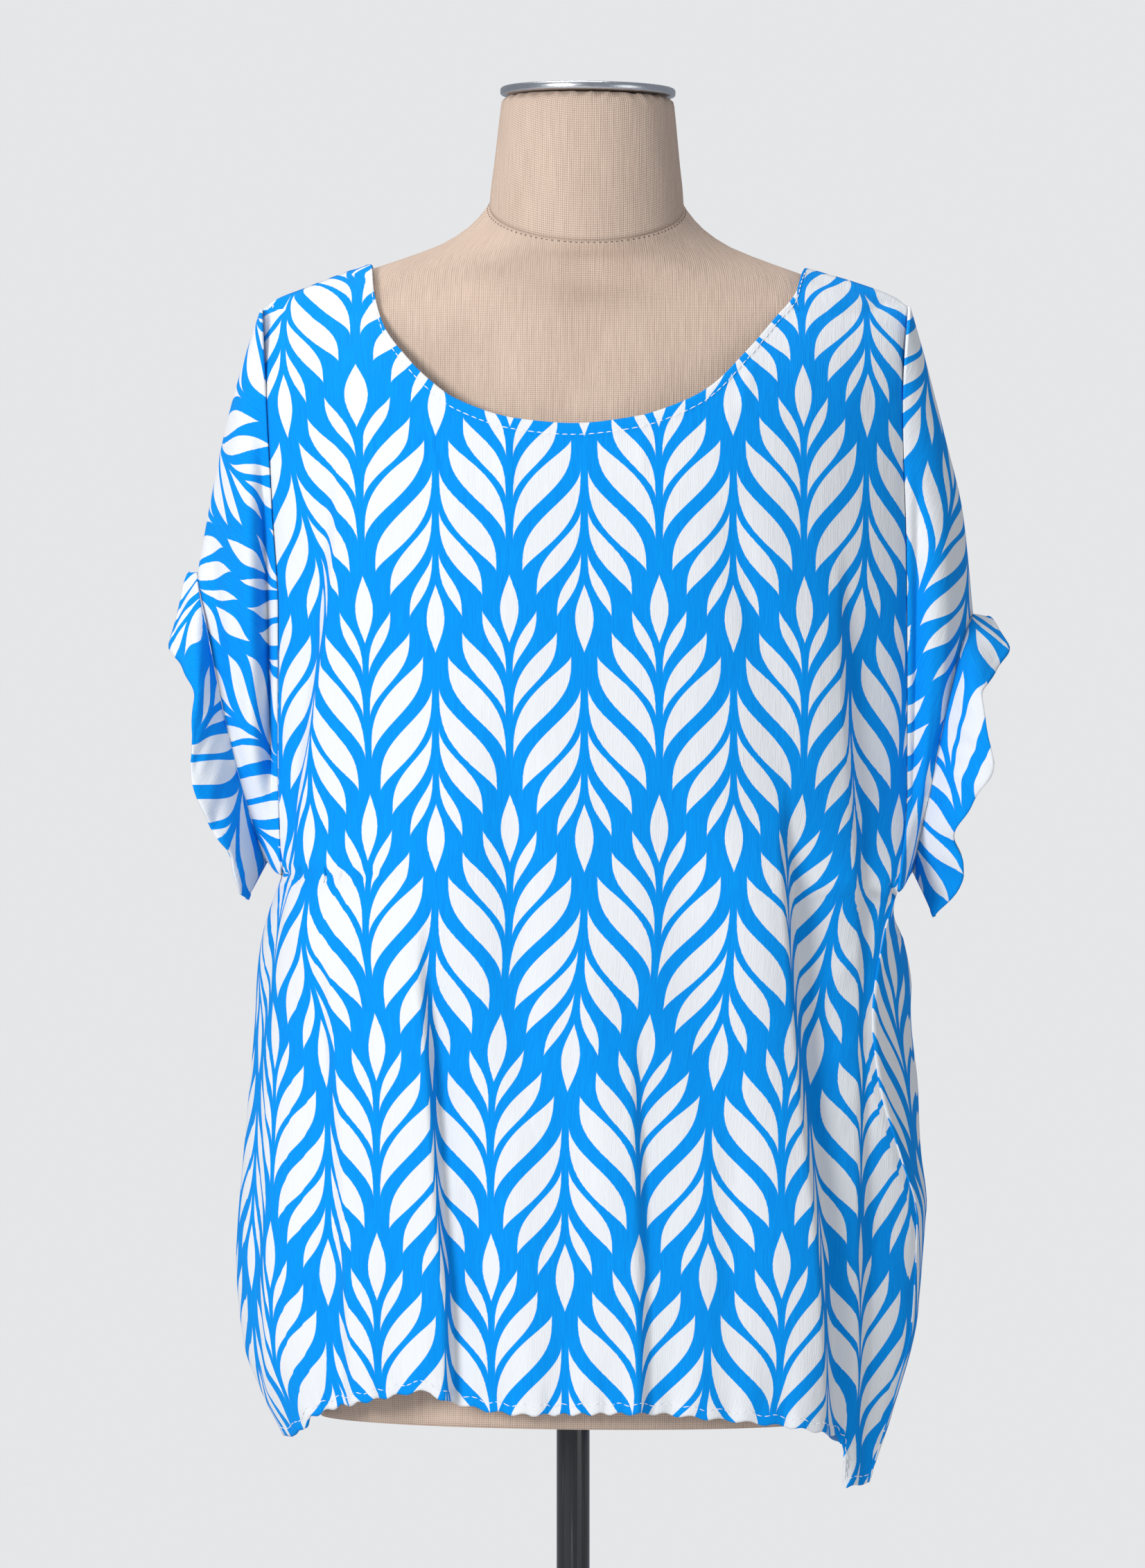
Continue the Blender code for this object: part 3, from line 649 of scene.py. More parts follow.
# Big folds. Each row: name, face, crest heights, crest x at those heights, forward height of the
# crest, depth of the valley behind it, width of the slope before it, side of the steep flank
FOLDS = (
    (
        "bust left",
        "front",
        (1.310, 1.252, 1.183, 1.099, 1.041, 0.98),
        (-0.146, -0.1516, -0.1615, -0.1730, -0.1829, -0.192),
        0.007,
        0.013,
        0.050,
        -1,
    ),
    (
        "bust right",
        "front",
        (1.250, 1.193, 1.143, 1.104, 1.060),
        (0.1640, 0.1666, 0.1713, 0.1739, 0.177),
        0.006,
        0.009,
        0.045,
        1,
    ),
    (
        "side right",
        "front",
        (1.100, 1.020, 0.959, 0.848, 0.761, 0.700),
        (0.1270, 0.1340, 0.1387, 0.1511, 0.1559, 0.158),
        0.012,
        0.012,
        0.060,
        1,
    ),
    (
        "hip left",
        "front",
        (1.025, 0.965, 0.872, 0.814, 0.740),
        (-0.0970, -0.0915, -0.0854, -0.0807, -0.0795),
        0.007,
        0.007,
        0.050,
        1,
    ),
    (
        "flank left",
        "front",
        (1.020, 0.930, 0.840, 0.740),
        (-0.1500, -0.1440, -0.1400, -0.1350),
        0.006,
        0.005,
        0.040,
        -1,
    ),
    (
        "belly",
        "front",
        (0.960, 0.880, 0.800, 0.740),
        (0.0350, 0.0380, 0.0400, 0.0400),
        0.004,
        0.004,
        0.050,
        1,
    ),
    (
        "blade left",
        "back",
        (1.300, 1.180, 1.060, 0.900),
        (-0.1350, -0.1420, -0.1500, -0.1540),
        0.008,
        0.010,
        0.050,
        -1,
    ),
    (
        "blade right",
        "back",
        (1.320, 1.200, 1.080, 0.940),
        (0.1380, 0.1480, 0.1560, 0.1600),
        0.008,
        0.010,
        0.050,
        1,
    ),
    (
        "seat left",
        "back",
        (1.080, 0.960, 0.850, 0.740),
        (-0.0760, -0.0820, -0.0900, -0.0940),
        0.009,
        0.008,
        0.050,
        -1,
    ),
    (
        "seat middle",
        "back",
        (1.020, 0.930, 0.840, 0.740),
        (0.0100, 0.0060, 0.0020, 0.0000),
        0.006,
        0.006,
        0.050,
        1,
    ),
    (
        "seat right",
        "back",
        (1.100, 0.980, 0.860, 0.720),
        (0.0840, 0.0900, 0.0980, 0.1040),
        0.009,
        0.009,
        0.055,
        1,
    ),
)
FLANK = 0.008
FOLD_FADE = 0.050
RIPPLE_LENGTH = 0.034
RIPPLE_HEIGHT = 0.0032
RIPPLE_REACH = 0.075

# Small creases. Each row: face, x and height of one end, x and height of the other end, height
# of the ridge (a trough is below zero), half width
CREASES = (
    ("front", -0.089, 1.362, -0.086, 1.338, 0.0014, 0.0022),
    ("front", -0.0905, 1.360, -0.0885, 1.340, -0.0012, 0.0018),
    ("front", -0.040, 1.362, -0.044, 1.318, 0.0008, 0.0050),
    ("front", 0.006, 1.356, 0.010, 1.330, 0.0005, 0.0035),
    ("front", 0.045, 1.363, 0.042, 1.335, 0.0006, 0.0040),
    ("front", 0.112, 1.408, 0.104, 1.372, 0.0008, 0.0045),
    ("front", -0.128, 1.400, -0.118, 1.360, 0.0008, 0.0050),
    ("front", -0.040, 1.180, -0.034, 0.930, -0.0035, 0.016),
    ("front", -0.130, 1.180, -0.124, 0.960, -0.0025, 0.014),
    ("front", 0.060, 1.150, 0.066, 0.980, -0.0020, 0.015),
    ("front", 0.012, 1.040, 0.020, 0.860, 0.0016, 0.013),
    ("front", 0.096, 1.320, 0.118, 1.210, -0.0020, 0.012),
    ("front", -0.060, 0.900, -0.052, 0.790, -0.0018, 0.010),
    ("front", 0.100, 0.930, 0.094, 0.800, -0.0016, 0.010),
    ("front", -0.182, 1.060, -0.150, 1.020, 0.0016, 0.007),
    ("front", 0.185, 1.040, 0.150, 1.010, 0.0016, 0.006),
    ("front", 0.186, 0.985, 0.162, 0.972, 0.0014, 0.004),
    ("front", 0.192, 0.945, 0.168, 0.926, -0.0013, 0.004),
    ("front", 0.204, 0.905, 0.180, 0.900, 0.0013, 0.004),
    ("front", 0.212, 0.868, 0.190, 0.858, -0.0012, 0.004),
    ("front", 0.212, 0.820, 0.186, 0.822, 0.0012, 0.004),
    ("back", -0.050, 1.400, -0.046, 1.300, -0.0020, 0.012),
    ("back", 0.060, 1.390, 0.052, 1.280, -0.0020, 0.012),
    ("back", 0.000, 1.240, 0.004, 1.060, 0.0020, 0.014),
    ("back", -0.110, 1.160, -0.104, 0.960, -0.0022, 0.013),
    ("back", 0.120, 1.120, 0.126, 0.930, -0.0022, 0.013),
    ("back", -0.030, 0.960, -0.036, 0.820, 0.0016, 0.010),
    ("back", 0.050, 0.900, 0.046, 0.790, -0.0016, 0.010),
    ("back", 0.170, 1.020, 0.140, 0.990, 0.0015, 0.006),
    ("back", -0.180, 1.000, -0.150, 0.980, 0.0014, 0.006),
)
# Cloth tucked out of sight behind a fold's crest. Each row: fold, face, width tucked at the hem
TUCKS = (
    ("bust left", "front", 0.014),
    ("bust right", "front", 0.008),
    ("side right", "front", 0.014),
    ("hip left", "front", 0.012),
    ("flank left", "front", 0.006),
    ("blade left", "back", 0.005),
    ("blade right", "back", 0.005),
    ("seat left", "back", 0.004),
    ("seat middle", "back", 0.003),
    ("seat right", "back", 0.004),
)
TUCK_REACH = 0.160
TUCK_EDGE = 0.0045
# Cloth drawn outwards and up over the left shoulder
DRAWN_OUT = 0.015
DRAWN_START = 0.105
DRAWN_WIDTH = 0.060
DRAWN_LOW = 1.200
DRAWN_RISE = 0.230
# Folds whose crest is followed by one column of the panel's grid
FOLLOWED_FOLDS = ("side right", "hip left")
FOLLOW_REACH = 0.15
PUCKER_LENGTH = 0.0125
PUCKER_HEIGHT = 0.0007
PUCKER_REACH = 0.022
HEM_SCALLOP = 0.0010
# How far the hem's puckers stray from even spacing, and over what length
PUCKER_STRAY = 0.004
PUCKER_STRAY_LENGTH = 0.021
# Height below which the panels get boxier, and over what height
BOXY_BELOW = 1.13
BOXY_FADE = 0.10
SEAM_SINK = 0.0009
SEAM_SINK_WIDTH = 0.0035


def form_surface(x, z, facing):
    """y of the form's front (-1) or back (+1) at a place, 0 outside its outline."""
    up = z - FORM_BOTTOM
    own_x = x * math.cos(FORM_LEAN) - up * math.sin(FORM_LEAN)
    own_z = FORM_BOTTOM + x * math.sin(FORM_LEAN) + up * math.cos(FORM_LEAN)
    y = np.zeros_like(x)
    for _ in range(4):
        tilt = smooth(column(TORSO, 0), column(TORSO, 4), own_z)
        section = [smooth(column(TORSO, 0), column(TORSO, k), own_z - tilt * y) for k in (1, 2, 3)]
        half, front, back = section
        depth = front if facing < 0 else back
        y = facing * depth * np.sqrt(np.clip(1 - (own_x / half) ** 2, 0.0, 1.0))
    return y


def shoulder_height(x):
    left = smooth(column(SHOULDER_LEFT, 0), column(SHOULDER_LEFT, 1), x)
    right = smooth(column(SHOULDER_RIGHT, 0), column(SHOULDER_RIGHT, 1), x)
    return np.where(x < 0, left, right)


def armhole(side, face, height):
    """x and y of an armhole seam. side and face are +1 or -1; the front has face -1."""
    table = ARMHOLE_RIGHT if side > 0 else ARMHOLE_LEFT
    seam = SIDE_RIGHT if side > 0 else SIDE_LEFT
    top, bottom = table[0][0], table[-1][0]
    turn = np.arccos(np.clip((2 * height - top - bottom) / (top - bottom), -1.0, 1.0))
    x = smooth(column(table, 0), column(table, 1), height)
    middle = seam[0][2] * ease((turn / math.pi - SWEEP_START) / (1 - SWEEP_START))
    y = middle + face * ARMHOLE_HALF_DEPTH * np.sin(turn) ** RING_FULLNESS
    return x, y


def panel_edge(side, face, height):
    """x and y of a panel's edge: its armhole, and below the underarm its side seam."""
    seam = SIDE_RIGHT if side > 0 else SIDE_LEFT
    arm_x, arm_y = armhole(side, face, np.maximum(height, seam[0][0]))
    seam_x = smooth(column(seam, 0), column(seam, 1), height)
    seam_y = smooth(column(seam, 0), column(seam, 2), height)
    above = height > seam[0][0]
    return np.where(above, arm_x, seam_x), np.where(above, arm_y, seam_y + face * SIDE_GAP / 2)


def fold_height(face_name, x, z):
    """How far the big folds of one face stand out."""
    total = np.zeros_like(x)
    for _, face, heights, crest_x, crest, valley, slope, steep in FOLDS:
        if face != face_name:
            continue
        along = steep * (x - smooth(heights, crest_x, z))
        reach = ease((heights[0] + FOLD_FADE - z) / (2 * FOLD_FADE))
        before = crest * ease(1 + along / slope)
        flank = crest - (crest + valley) * ease(along / FLANK)
        after = -valley * ease(1 - (along - FLANK) / slope)
        shape = np.where(along < 0, before, np.where(along < FLANK, flank, after))
        total += reach * shape
    return total


def follow_folds(face_name, s, across, left_x, right_x, z):
    """Moves the grid's columns sideways so that one of them runs along each sharp crest."""
    moved = across.copy()
    for name, face, heights, crest_x, *_ in FOLDS:
        if face != face_name or name not in FOLLOWED_FOLDS:
            continue
        level = heights[len(heights) // 2]
        middle_left, middle_right = panel_edge(-1, -1, level)[0], panel_edge(1, -1, level)[0]
        middle_crest = smooth(heights, crest_x, level)
        middle = (2 * middle_crest - middle_left - middle_right) / (middle_right - middle_left)
        own_s = math.asin(middle) * 2 / math.pi
        crest = (2 * smooth(heights, crest_x, z) - left_x - right_x) / (right_x - left_x)
        reach = ease((heights[0] + 2 * FOLD_FADE - z) / (2 * FOLD_FADE))
        near = np.exp(-(((s - own_s) / FOLLOW_REACH) ** 2)) * (1 - np.abs(s) ** 6) / (1 - abs(own_s) ** 6)
        moved += reach * (crest - middle) * near
    return moved


def tucked_cloth(face_name, x, z):
    """How far the print has moved outwards through cloth that is tucked behind the folds."""
    total = np.zeros_like(x)
    for name, face, tucked in TUCKS:
        if face != face_name:
            continue
        heights, crest_x, steep = [(row[2], row[3], row[7]) for row in FOLDS if row[:2] == (name, face)][0]
        past = ease(steep * (x - smooth(heights, crest_x, z)) / TUCK_EDGE)
        total += steep * tucked * past * ease((heights[0] + FOLD_FADE - z) / TUCK_REACH)
    return total


def crease_shape(x, z, x0, z0, x1, z1, height, half):
    """A soft straight ridge or trough that dies away at its ends."""
    length = math.hypot(x1 - x0, z1 - z0)
    run_x, run_z = (x1 - x0) / length, (z1 - z0) / length
    along = ((x - x0) * run_x + (z - z0) * run_z) / length
    off = (x - x0) * run_z - (z - z0) * run_x
    ends = ease(along / 0.3 + 0.3) * ease((1 - along) / 0.3 + 0.3)
    return height * ends * np.exp(-((off / half) ** 2))


def crease_height(face_name, x, z):
    """How far the small creases of one face stand out."""
    total = np.zeros_like(x)
    for face, *ends in CREASES:
        if face == face_name:
            total += crease_shape(x, z, *ends)
    return total


def top_edge(face, fraction):
    """x and height of a panel's upper edge: shoulder, neck edge, shoulder, by length."""
    if face < 0:
        neck = list(NECKLINE)
    else:
        left, right = NECKLINE[0], NECKLINE[-1]
        middle, half = (left[0] + right[0]) / 2, (right[0] - left[0]) / 2
        neck = []
        for turn in np.linspace(0, math.pi, 11):
            drop = BACK_NECK_DROP * math.sin(turn) ** BACK_NECK_FULLNESS
            height = left[1] + (right[1] - left[1]) * turn / math.pi - drop
            neck.append((middle - half * math.cos(turn), height))
    points = np.array(list(SHOULDER_LEFT)[::-1][:-1] + neck + list(SHOULDER_RIGHT)[1:])
    length = np.concatenate([[0.0], np.cumsum(np.hypot(*np.diff(points, axis=0).T))])
    length /= length[-1]
    return smooth(length, points[:, 0], fraction), smooth(length, points[:, 1], fraction)


def panel(face, across, down, folded=1.0):
    """Grid of points of the front (-1) or back (+1) panel, rows from the top edge to the hem.
    With folded at 0 it has no folds or creases."""
    name = "front" if face < 0 else "back"
    hem = FRONT_HEM if face < 0 else BACK_HEM
    s = np.linspace(-1.0, 1.0, across + 1)
    top_x, top_z = top_edge(face, (s + 1) / 2)
    spread = np.sin(s * math.pi / 2)
    hem_x = np.where(spread < 0, -hem[0][0], hem[-1][0]) * spread
    hem_z = smooth(column(hem, 0), column(hem, 1), hem_x)
    stray = PUCKER_STRAY * np.sin(hem_x / PUCKER_STRAY_LENGTH)
    scallop_turn = 2 * math.pi * (hem_x + stray) / PUCKER_LENGTH
    hem_z = hem_z + HEM_SCALLOP * np.sin(scallop_turn) * (1 - np.abs(s) ** 8)
    top_right, top_left = panel_edge(1, face, top_z)[0], panel_edge(-1, face, top_z)[0]
    top_across = (2 * top_x - top_left - top_right) / (top_right - top_left)
    rows = []
    for r in np.linspace(0.0, 1.0, down + 1):
        t = 0.55 * ease(r) + 0.45 * r
        z = top_z + (hem_z - top_z) * t
        right_x, right_y = panel_edge(1, face, z)
        left_x, left_y = panel_edge(-1, face, z)
        across_now = top_across + (spread - top_across) * ease(t / 0.40)
        across_now = follow_folds(name, s, across_now, left_x, right_x, z)
        x = (left_x + right_x) / 2 + across_now * (right_x - left_x) / 2
        side_y = left_y + (right_y - left_y) * (across_now + 1) / 2
        low = ease((BOXY_BELOW - z) / BOXY_FADE)
        power = np.where((across_now > 0) & (face < 0), 1.0, 1.0 / (1.0 + low))
        curve = (1 - np.abs(across_now) ** 3.0) ** power
        deep = smooth(column(HANG, 0), column(HANG, 1 if face < 0 else 2), z)
        y = side_y + (deep - side_y) * curve
        inner = 1 - np.abs(across_now) ** 6
        y += folded * face * fold_height(name, x, z) * inner
        y += folded * face * crease_height(name, x, z) * (1 - np.abs(across_now) ** 30)
        from_edge = (1 - np.abs(across_now)) * (right_x - left_x) / 2
        y -= face * SEAM_SINK * np.exp(-((from_edge / SEAM_SINK_WIDTH) ** 2))
        near_hem = ease(1 - (z - hem_z) / RIPPLE_REACH)
        near_side = 0.35 + 0.65 * np.abs(across_now) ** 4
        ripple = near_hem * near_side * inner * np.sin(2 * math.pi * x / RIPPLE_LENGTH)
        y += folded * face * RIPPLE_HEIGHT * ripple
        by_stitches = ease(1 - (z - hem_z) / PUCKER_REACH)
        y += folded * face * PUCKER_HEIGHT * by_stitches * np.sin(scallop_turn + 1.2) * (1 - np.abs(s) ** 8)
        if face > 0:
            to_side = np.sin(np.clip((np.abs(s) - 0.5) / 0.5, 0.0, 1.0) * math.pi)
            swell = smooth(column(SWELL, 0), column(SWELL, 1), z)
            x = x + np.where(s > 0, swell, 0.0) * to_side
        drop = np.clip(shoulder_height(x) - z, 0.0, None)
        over = np.clip(drop / SHOULDER_ROUND, 0.0, 1.0)
        y *= np.sqrt(1 - (1 - over) ** 2)
        skin = form_surface(x, z - CLOTH_CLEAR * 2, face)
        touching = (np.abs(skin) > 0.001) & (drop > 0.0005)
        y = np.where(touching, face * np.maximum(face * y, np.abs(skin) + CLOTH_CLEAR), y)
        y = np.where(over < 0.5, face * np.maximum(face * y, SHOULDER_GAP / 2), y)
        rows.append(np.stack([x, y, z], axis=1))
    return np.array(rows)


def panel_cloth_map(face, across, rows):
    """Cloth coordinates of a panel: u is the length across from the middle at one height, v the
    length down each column. They are measured on a finer grid than the panel's own."""
    grid = panel(face, across * MAP_FINENESS, rows)
    down, wide = grid.shape[0], grid.shape[1]
    levels = np.arange(*MAP_LEVELS)
    middle = int(np.argmin(np.abs(grid[down // 2, :, 0])))
    neck_bottom = grid[0, middle, 2]
    level_u = np.zeros((len(levels), wide))
    inner_u = None
    for number, level in enumerate(levels):
        x = np.array([np.interp(level, grid[::-1, i, 2], grid[::-1, i, 0]) for i in range(wide)])
        y = np.array([np.interp(level, grid[::-1, i, 2], grid[::-1, i, 1]) for i in range(wide)])
        run = np.concatenate([[0.0], np.cumsum(np.hypot(np.diff(x), np.diff(y)))])
        if level < neck_bottom - MAP_BELOW_NECK or inner_u is None:
            u = run - np.interp(0.0, x, run)
            inner_u = [np.interp(at, x, u) for at in MAP_SHOULDERS]
        else:
            u = np.empty(wide)
            for half, at, start in zip((x < 0, x >= 0), MAP_SHOULDERS, inner_u):
                u[half] = run[half] - np.interp(at, x[half], run[half]) + start
        level_u[number] = u
    u = np.empty((down, wide))
    for i in range(wide):
        u[:, i] = np.interp(grid[:, i, 2], levels, level_u[:, i])
    u += tucked_cloth("front" if face < 0 else "back", grid[:, :, 0], grid[:, :, 2])
    to_shoulder = ease((-DRAWN_START - grid[:, :, 0]) / DRAWN_WIDTH)
    u += DRAWN_OUT * to_shoulder * ease((grid[:, :, 2] - DRAWN_LOW) / DRAWN_RISE)
    plain = panel(face, across * MAP_FINENESS, rows, 0.0)
    step = np.hypot(np.diff(plain[:, :, 1], axis=0), np.diff(plain[:, :, 2], axis=0))
    run = np.concatenate([np.zeros((1, wide)), np.cumsum(step, axis=0)])
    v = np.empty((down, wide))
    for i in range(wide):
        at_chest = np.interp(-MAP_CHEST, -grid[:, i, 2], run[:, i])
        v[:, i] = MAP_CHEST + at_chest - run[:, i]
    return u[:, ::MAP_FINENESS], v[:, ::MAP_FINENESS]


def add_cloth(name, grid, closed, hem_weight, finishes, u, v):
    """A thin cloth wall over a grid of points, thicker where its hems are turned."""
    down, wide = grid.shape[0] - 1, grid.shape[1]
    across = wide if closed else wide - 1
    made = add_mesh(name, grid.reshape(-1, 3), grid_faces(across, down, closed), finishes)
    lay_cloth_map(made, across, down, u, v)
    hems = made.vertex_groups.new(name="turned hems")
    weights = hem_weight.ravel()
    for number in np.flatnonzero(weights > 0.01):
        hems.add([int(number)], float(weights[number]), "REPLACE")
    wall = made.modifiers.new("cloth thickness", "SOLIDIFY")
    wall.thickness = HEM_CLOTH
    wall.offset = 0.0
    wall.vertex_group = "turned hems"
    wall.thickness_vertex_group = CLOTH / HEM_CLOTH
    wall.material_offset = 1
    wall.material_offset_rim = 0
    return made


def leaf_sprig_group():
    """Shader group: 1 inside the leaves and bud of one sprig, 0 outside, from millimetres."""
    group = bpy.data.node_groups.new("leaf sprig", "ShaderNodeTree")
    group.interface.new_socket("across", in_out="INPUT", socket_type="NodeSocketFloat")
    group.interface.new_socket("up", in_out="INPUT", socket_type="NodeSocketFloat")
    group.interface.new_socket("printed", in_out="OUTPUT", socket_type="NodeSocketFloat")
    entry = group.nodes.new("NodeGroupInput")
    leave = group.nodes.new("NodeGroupOutput")
    across, up = entry.outputs["across"], entry.outputs["up"]
    share = maths(group, "DIVIDE", up, BUD_LENGTH, clamp=True)
    bulge = maths(group, "POWER", maths(group, "SINE", maths(group, "MULTIPLY", share, math.pi)), BUD_POINT)
    inside = maths(group, "SUBTRACT", maths(group, "MULTIPLY", bulge, BUD_HALF), across)
    printed = maths(group, "DIVIDE", inside, PRINT_EDGE, clamp=True)
    for foot_x, foot_y, tip_x, tip_y in LEAVES:
        s = maths(group, "DIVIDE", maths(group, "SUBTRACT", up, foot_y), tip_y - foot_y, clamp=True)
        t = maths(group, "DIVIDE", maths(group, "SUBTRACT", across, foot_x), tip_x - foot_x)
        edges = []
        for start_power, end_power in (LEAF_INNER, LEAF_OUTER):
            short = maths(group, "SUBTRACT", 1.0, maths(group, "POWER", s, start_power))
            edges.append(maths(group, "SUBTRACT", 1.0, maths(group, "POWER", short, end_power)))
        past_inner = maths(group, "SUBTRACT", t, edges[0])
        short_of_outer = maths(group, "SUBTRACT", edges[1], t)
        inside = maths(group, "MULTIPLY", maths(group, "MINIMUM", past_inner, short_of_outer), tip_x - foot_x)
        printed = maths(group, "MAXIMUM", printed, maths(group, "DIVIDE", inside, PRINT_EDGE, clamp=True))
    group.links.new(printed, leave.inputs["printed"])
    return group


sprig = leaf_sprig_group()


def printed_cloth(name, ground, ground_deep, leaf):
    """Light plain-weave viscose with the leaf print."""
    made, tree, shader = new_finish(name, 0.86)
    shader.inputs["Specular IOR Level"].default_value = 0.08
    shader.inputs["Sheen Weight"].default_value = 0.01
    cloth_map = tree.nodes.new("ShaderNodeUVMap")
    cloth_map.uv_map = "cloth"
    place = cloth_map.outputs["UV"]
    axes = tree.nodes.new("ShaderNodeSeparateXYZ")
    feed(tree, axes.inputs[0], place)
    wobble = maths(tree, "SUBTRACT", noise(tree, stretched(tree, place, (420.0, 420.0, 1.0)), 1.0, 2.0), 0.5)
    start_u = maths(tree, "MULTIPLY_ADD", wobble, PRINT_WOBBLE, -COLUMN_START)
    start_v = maths(tree, "MULTIPLY_ADD", wobble, PRINT_WOBBLE, -BUD_FOOT)
    u = maths(tree, "MULTIPLY_ADD", axes.outputs["X"], 1000.0, start_u)
    v = maths(tree, "MULTIPLY_ADD", axes.outputs["Y"], 1000.0, start_v)
    upright = tree.nodes.new("ShaderNodeGroup")
    upright.node_tree = sprig
    turned = tree.nodes.new("ShaderNodeGroup")
    turned.node_tree = sprig
    across = maths(tree, "PINGPONG", u, COLUMN_SPACING / 2)
    feed(tree, upright.inputs["across"], across)
    feed(tree, upright.inputs["up"], maths(tree, "WRAP", v, REPEAT - SPRIG_BELOW, -SPRIG_BELOW))
    feed(tree, turned.inputs["across"], maths(tree, "SUBTRACT", COLUMN_SPACING / 2, across))
    turned_v = maths(tree, "SUBTRACT", TURNED_FOOT, v)
    feed(tree, turned.inputs["up"], maths(tree, "WRAP", turned_v, REPEAT - SPRIG_BELOW, -SPRIG_BELOW))
    printed = maths(tree, "MAXIMUM", upright.outputs["printed"], turned.outputs["printed"])
    slubs = spread_out(tree, noise(tree, stretched(tree, place, (1400.0, 55.0, 1.0)), 1.0), 0.30, 0.70)
    ground_colour = blend_colour(tree, slubs, ground_deep, ground)
    leaf_colour = blend_colour(tree, maths(tree, "MULTIPLY", slubs, 0.5), tuple(0.93 * c for c in leaf), leaf)
    feed(tree, shader.inputs["Base Color"], blend_colour(tree, printed, ground_colour, leaf_colour))
    crumple = noise(tree, stretched(tree, place, (60.0, 22.0, 1.0)), 1.0, 4.0)
    height = maths(tree, "MULTIPLY_ADD", slubs, 0.12, crumple)
    bump(tree, shader, height, 0.0022, 0.5)
    return made


print_face = printed_cloth("printed viscose", AZURE, AZURE_DEEP, PAPER_WHITE)
print_reverse = printed_cloth("printed viscose reverse", REVERSE_AZURE, REVERSE_AZURE, REVERSE_WHITE)


def hem_weights(grid, neck_columns, bottom):
    """1 within the turned hems of a panel, fading over a millimetre."""
    step = np.linalg.norm(np.diff(grid, axis=0), axis=2)
    from_top = np.concatenate([np.zeros((1, grid.shape[1])), np.cumsum(step, axis=0)])
    from_bottom = from_top[-1:] - from_top
    neck = np.clip((NECK_HEM - from_top) / HEM_FADE + 0.5, 0.0, 1.0) * neck_columns[None, :]
    low = np.clip((bottom - from_bottom) / HEM_FADE + 0.5, 0.0, 1.0)
    return np.maximum(neck, low)


def neck_columns_of(grid):
    """Which columns of a panel start at the neck edge and not at a shoulder."""
    x = grid[0, :, 0]
    return (x > NECKLINE[0][0] + SHOULDER_MARGIN) & (x < NECKLINE[-1][0] - SHOULDER_MARGIN)


front_grid = panel(-1.0, *FRONT_GRID)
front_neck = neck_columns_of(front_grid)
front_u, front_v = panel_cloth_map(-1.0, *FRONT_GRID)
front_cloth = add_cloth(
    "front_panel",
    front_grid[:, ::-1],
    False,
    hem_weights(front_grid, front_neck, BOTTOM_HEM)[:, ::-1],
    [print_face, print_reverse],
    front_u[:, ::-1],
    front_v[:, ::-1],
)
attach(front_cloth, "root")
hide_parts("front")


# Back of the blouse. A panel as wide as the front with a shallow neck, of the same viscose. It
# swells out behind the right side seam and hangs free of the form down to the hem.
BACK_GRID = (210, 150)

back_grid = panel(1.0, *BACK_GRID)
back_neck = neck_columns_of(back_grid)
back_u, back_v = panel_cloth_map(1.0, *BACK_GRID)
back_cloth = add_cloth(
    "back_panel",
    back_grid,
    False,
    hem_weights(back_grid, back_neck, BOTTOM_HEM),
    [print_face, print_reverse],
    back_u,
    back_v,
)
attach(back_cloth, "root")
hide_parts("back")


# Sleeves. Wide and short, sewn into long armholes and hanging nearly straight down from the
# dropped shoulder. The leaf columns run across them.
SLEEVE_GRID = (200, 40)
ARMHOLE_GAP = 0.0008
SLEEVE_LENGTH = 0.045
TALL_RING_EVENING = 0.25

# Each row: how far along the sleeve, x and height of its upper fold, x, y and height of its
# lowest point, half depth, outward bow of the front
SLEEVE_RIGHT = (
    (0.25, 0.2204, 1.4163, 0.2055, -0.049, 1.0765, 0.055, 0.000),
    (0.50, 0.2340, 1.3640, 0.2085, -0.034, 1.0800, 0.054, -0.001),
    (0.75, 0.2465, 1.3120, 0.2120, -0.019, 1.0845, 0.050, -0.004),
    (1.00, 0.2530, 1.2500, 0.2155, -0.006, 1.0880, 0.046, -0.007),
)
SLEEVE_LEFT = (
    (0.25, -0.2068, 1.4120, -0.1860, -0.024, 1.0865, 0.055, 0.000),
    (0.50, -0.2190, 1.3680, -0.1890, -0.018, 1.0890, 0.053, 0.001),
    (0.75, -0.2290, 1.3200, -0.1912, -0.011, 1.0915, 0.049, 0.002),
    (1.00, -0.2370, 1.2760, -0.1935, -0.004, 1.0940, 0.045, 0.003),
)


def tall_ring_angles(count):
    """Angles round a tall narrow ring that space its points about evenly along it."""
    even = np.arange(count) * 2 * math.pi / count
    return even + TALL_RING_EVENING * np.sin(2 * even)


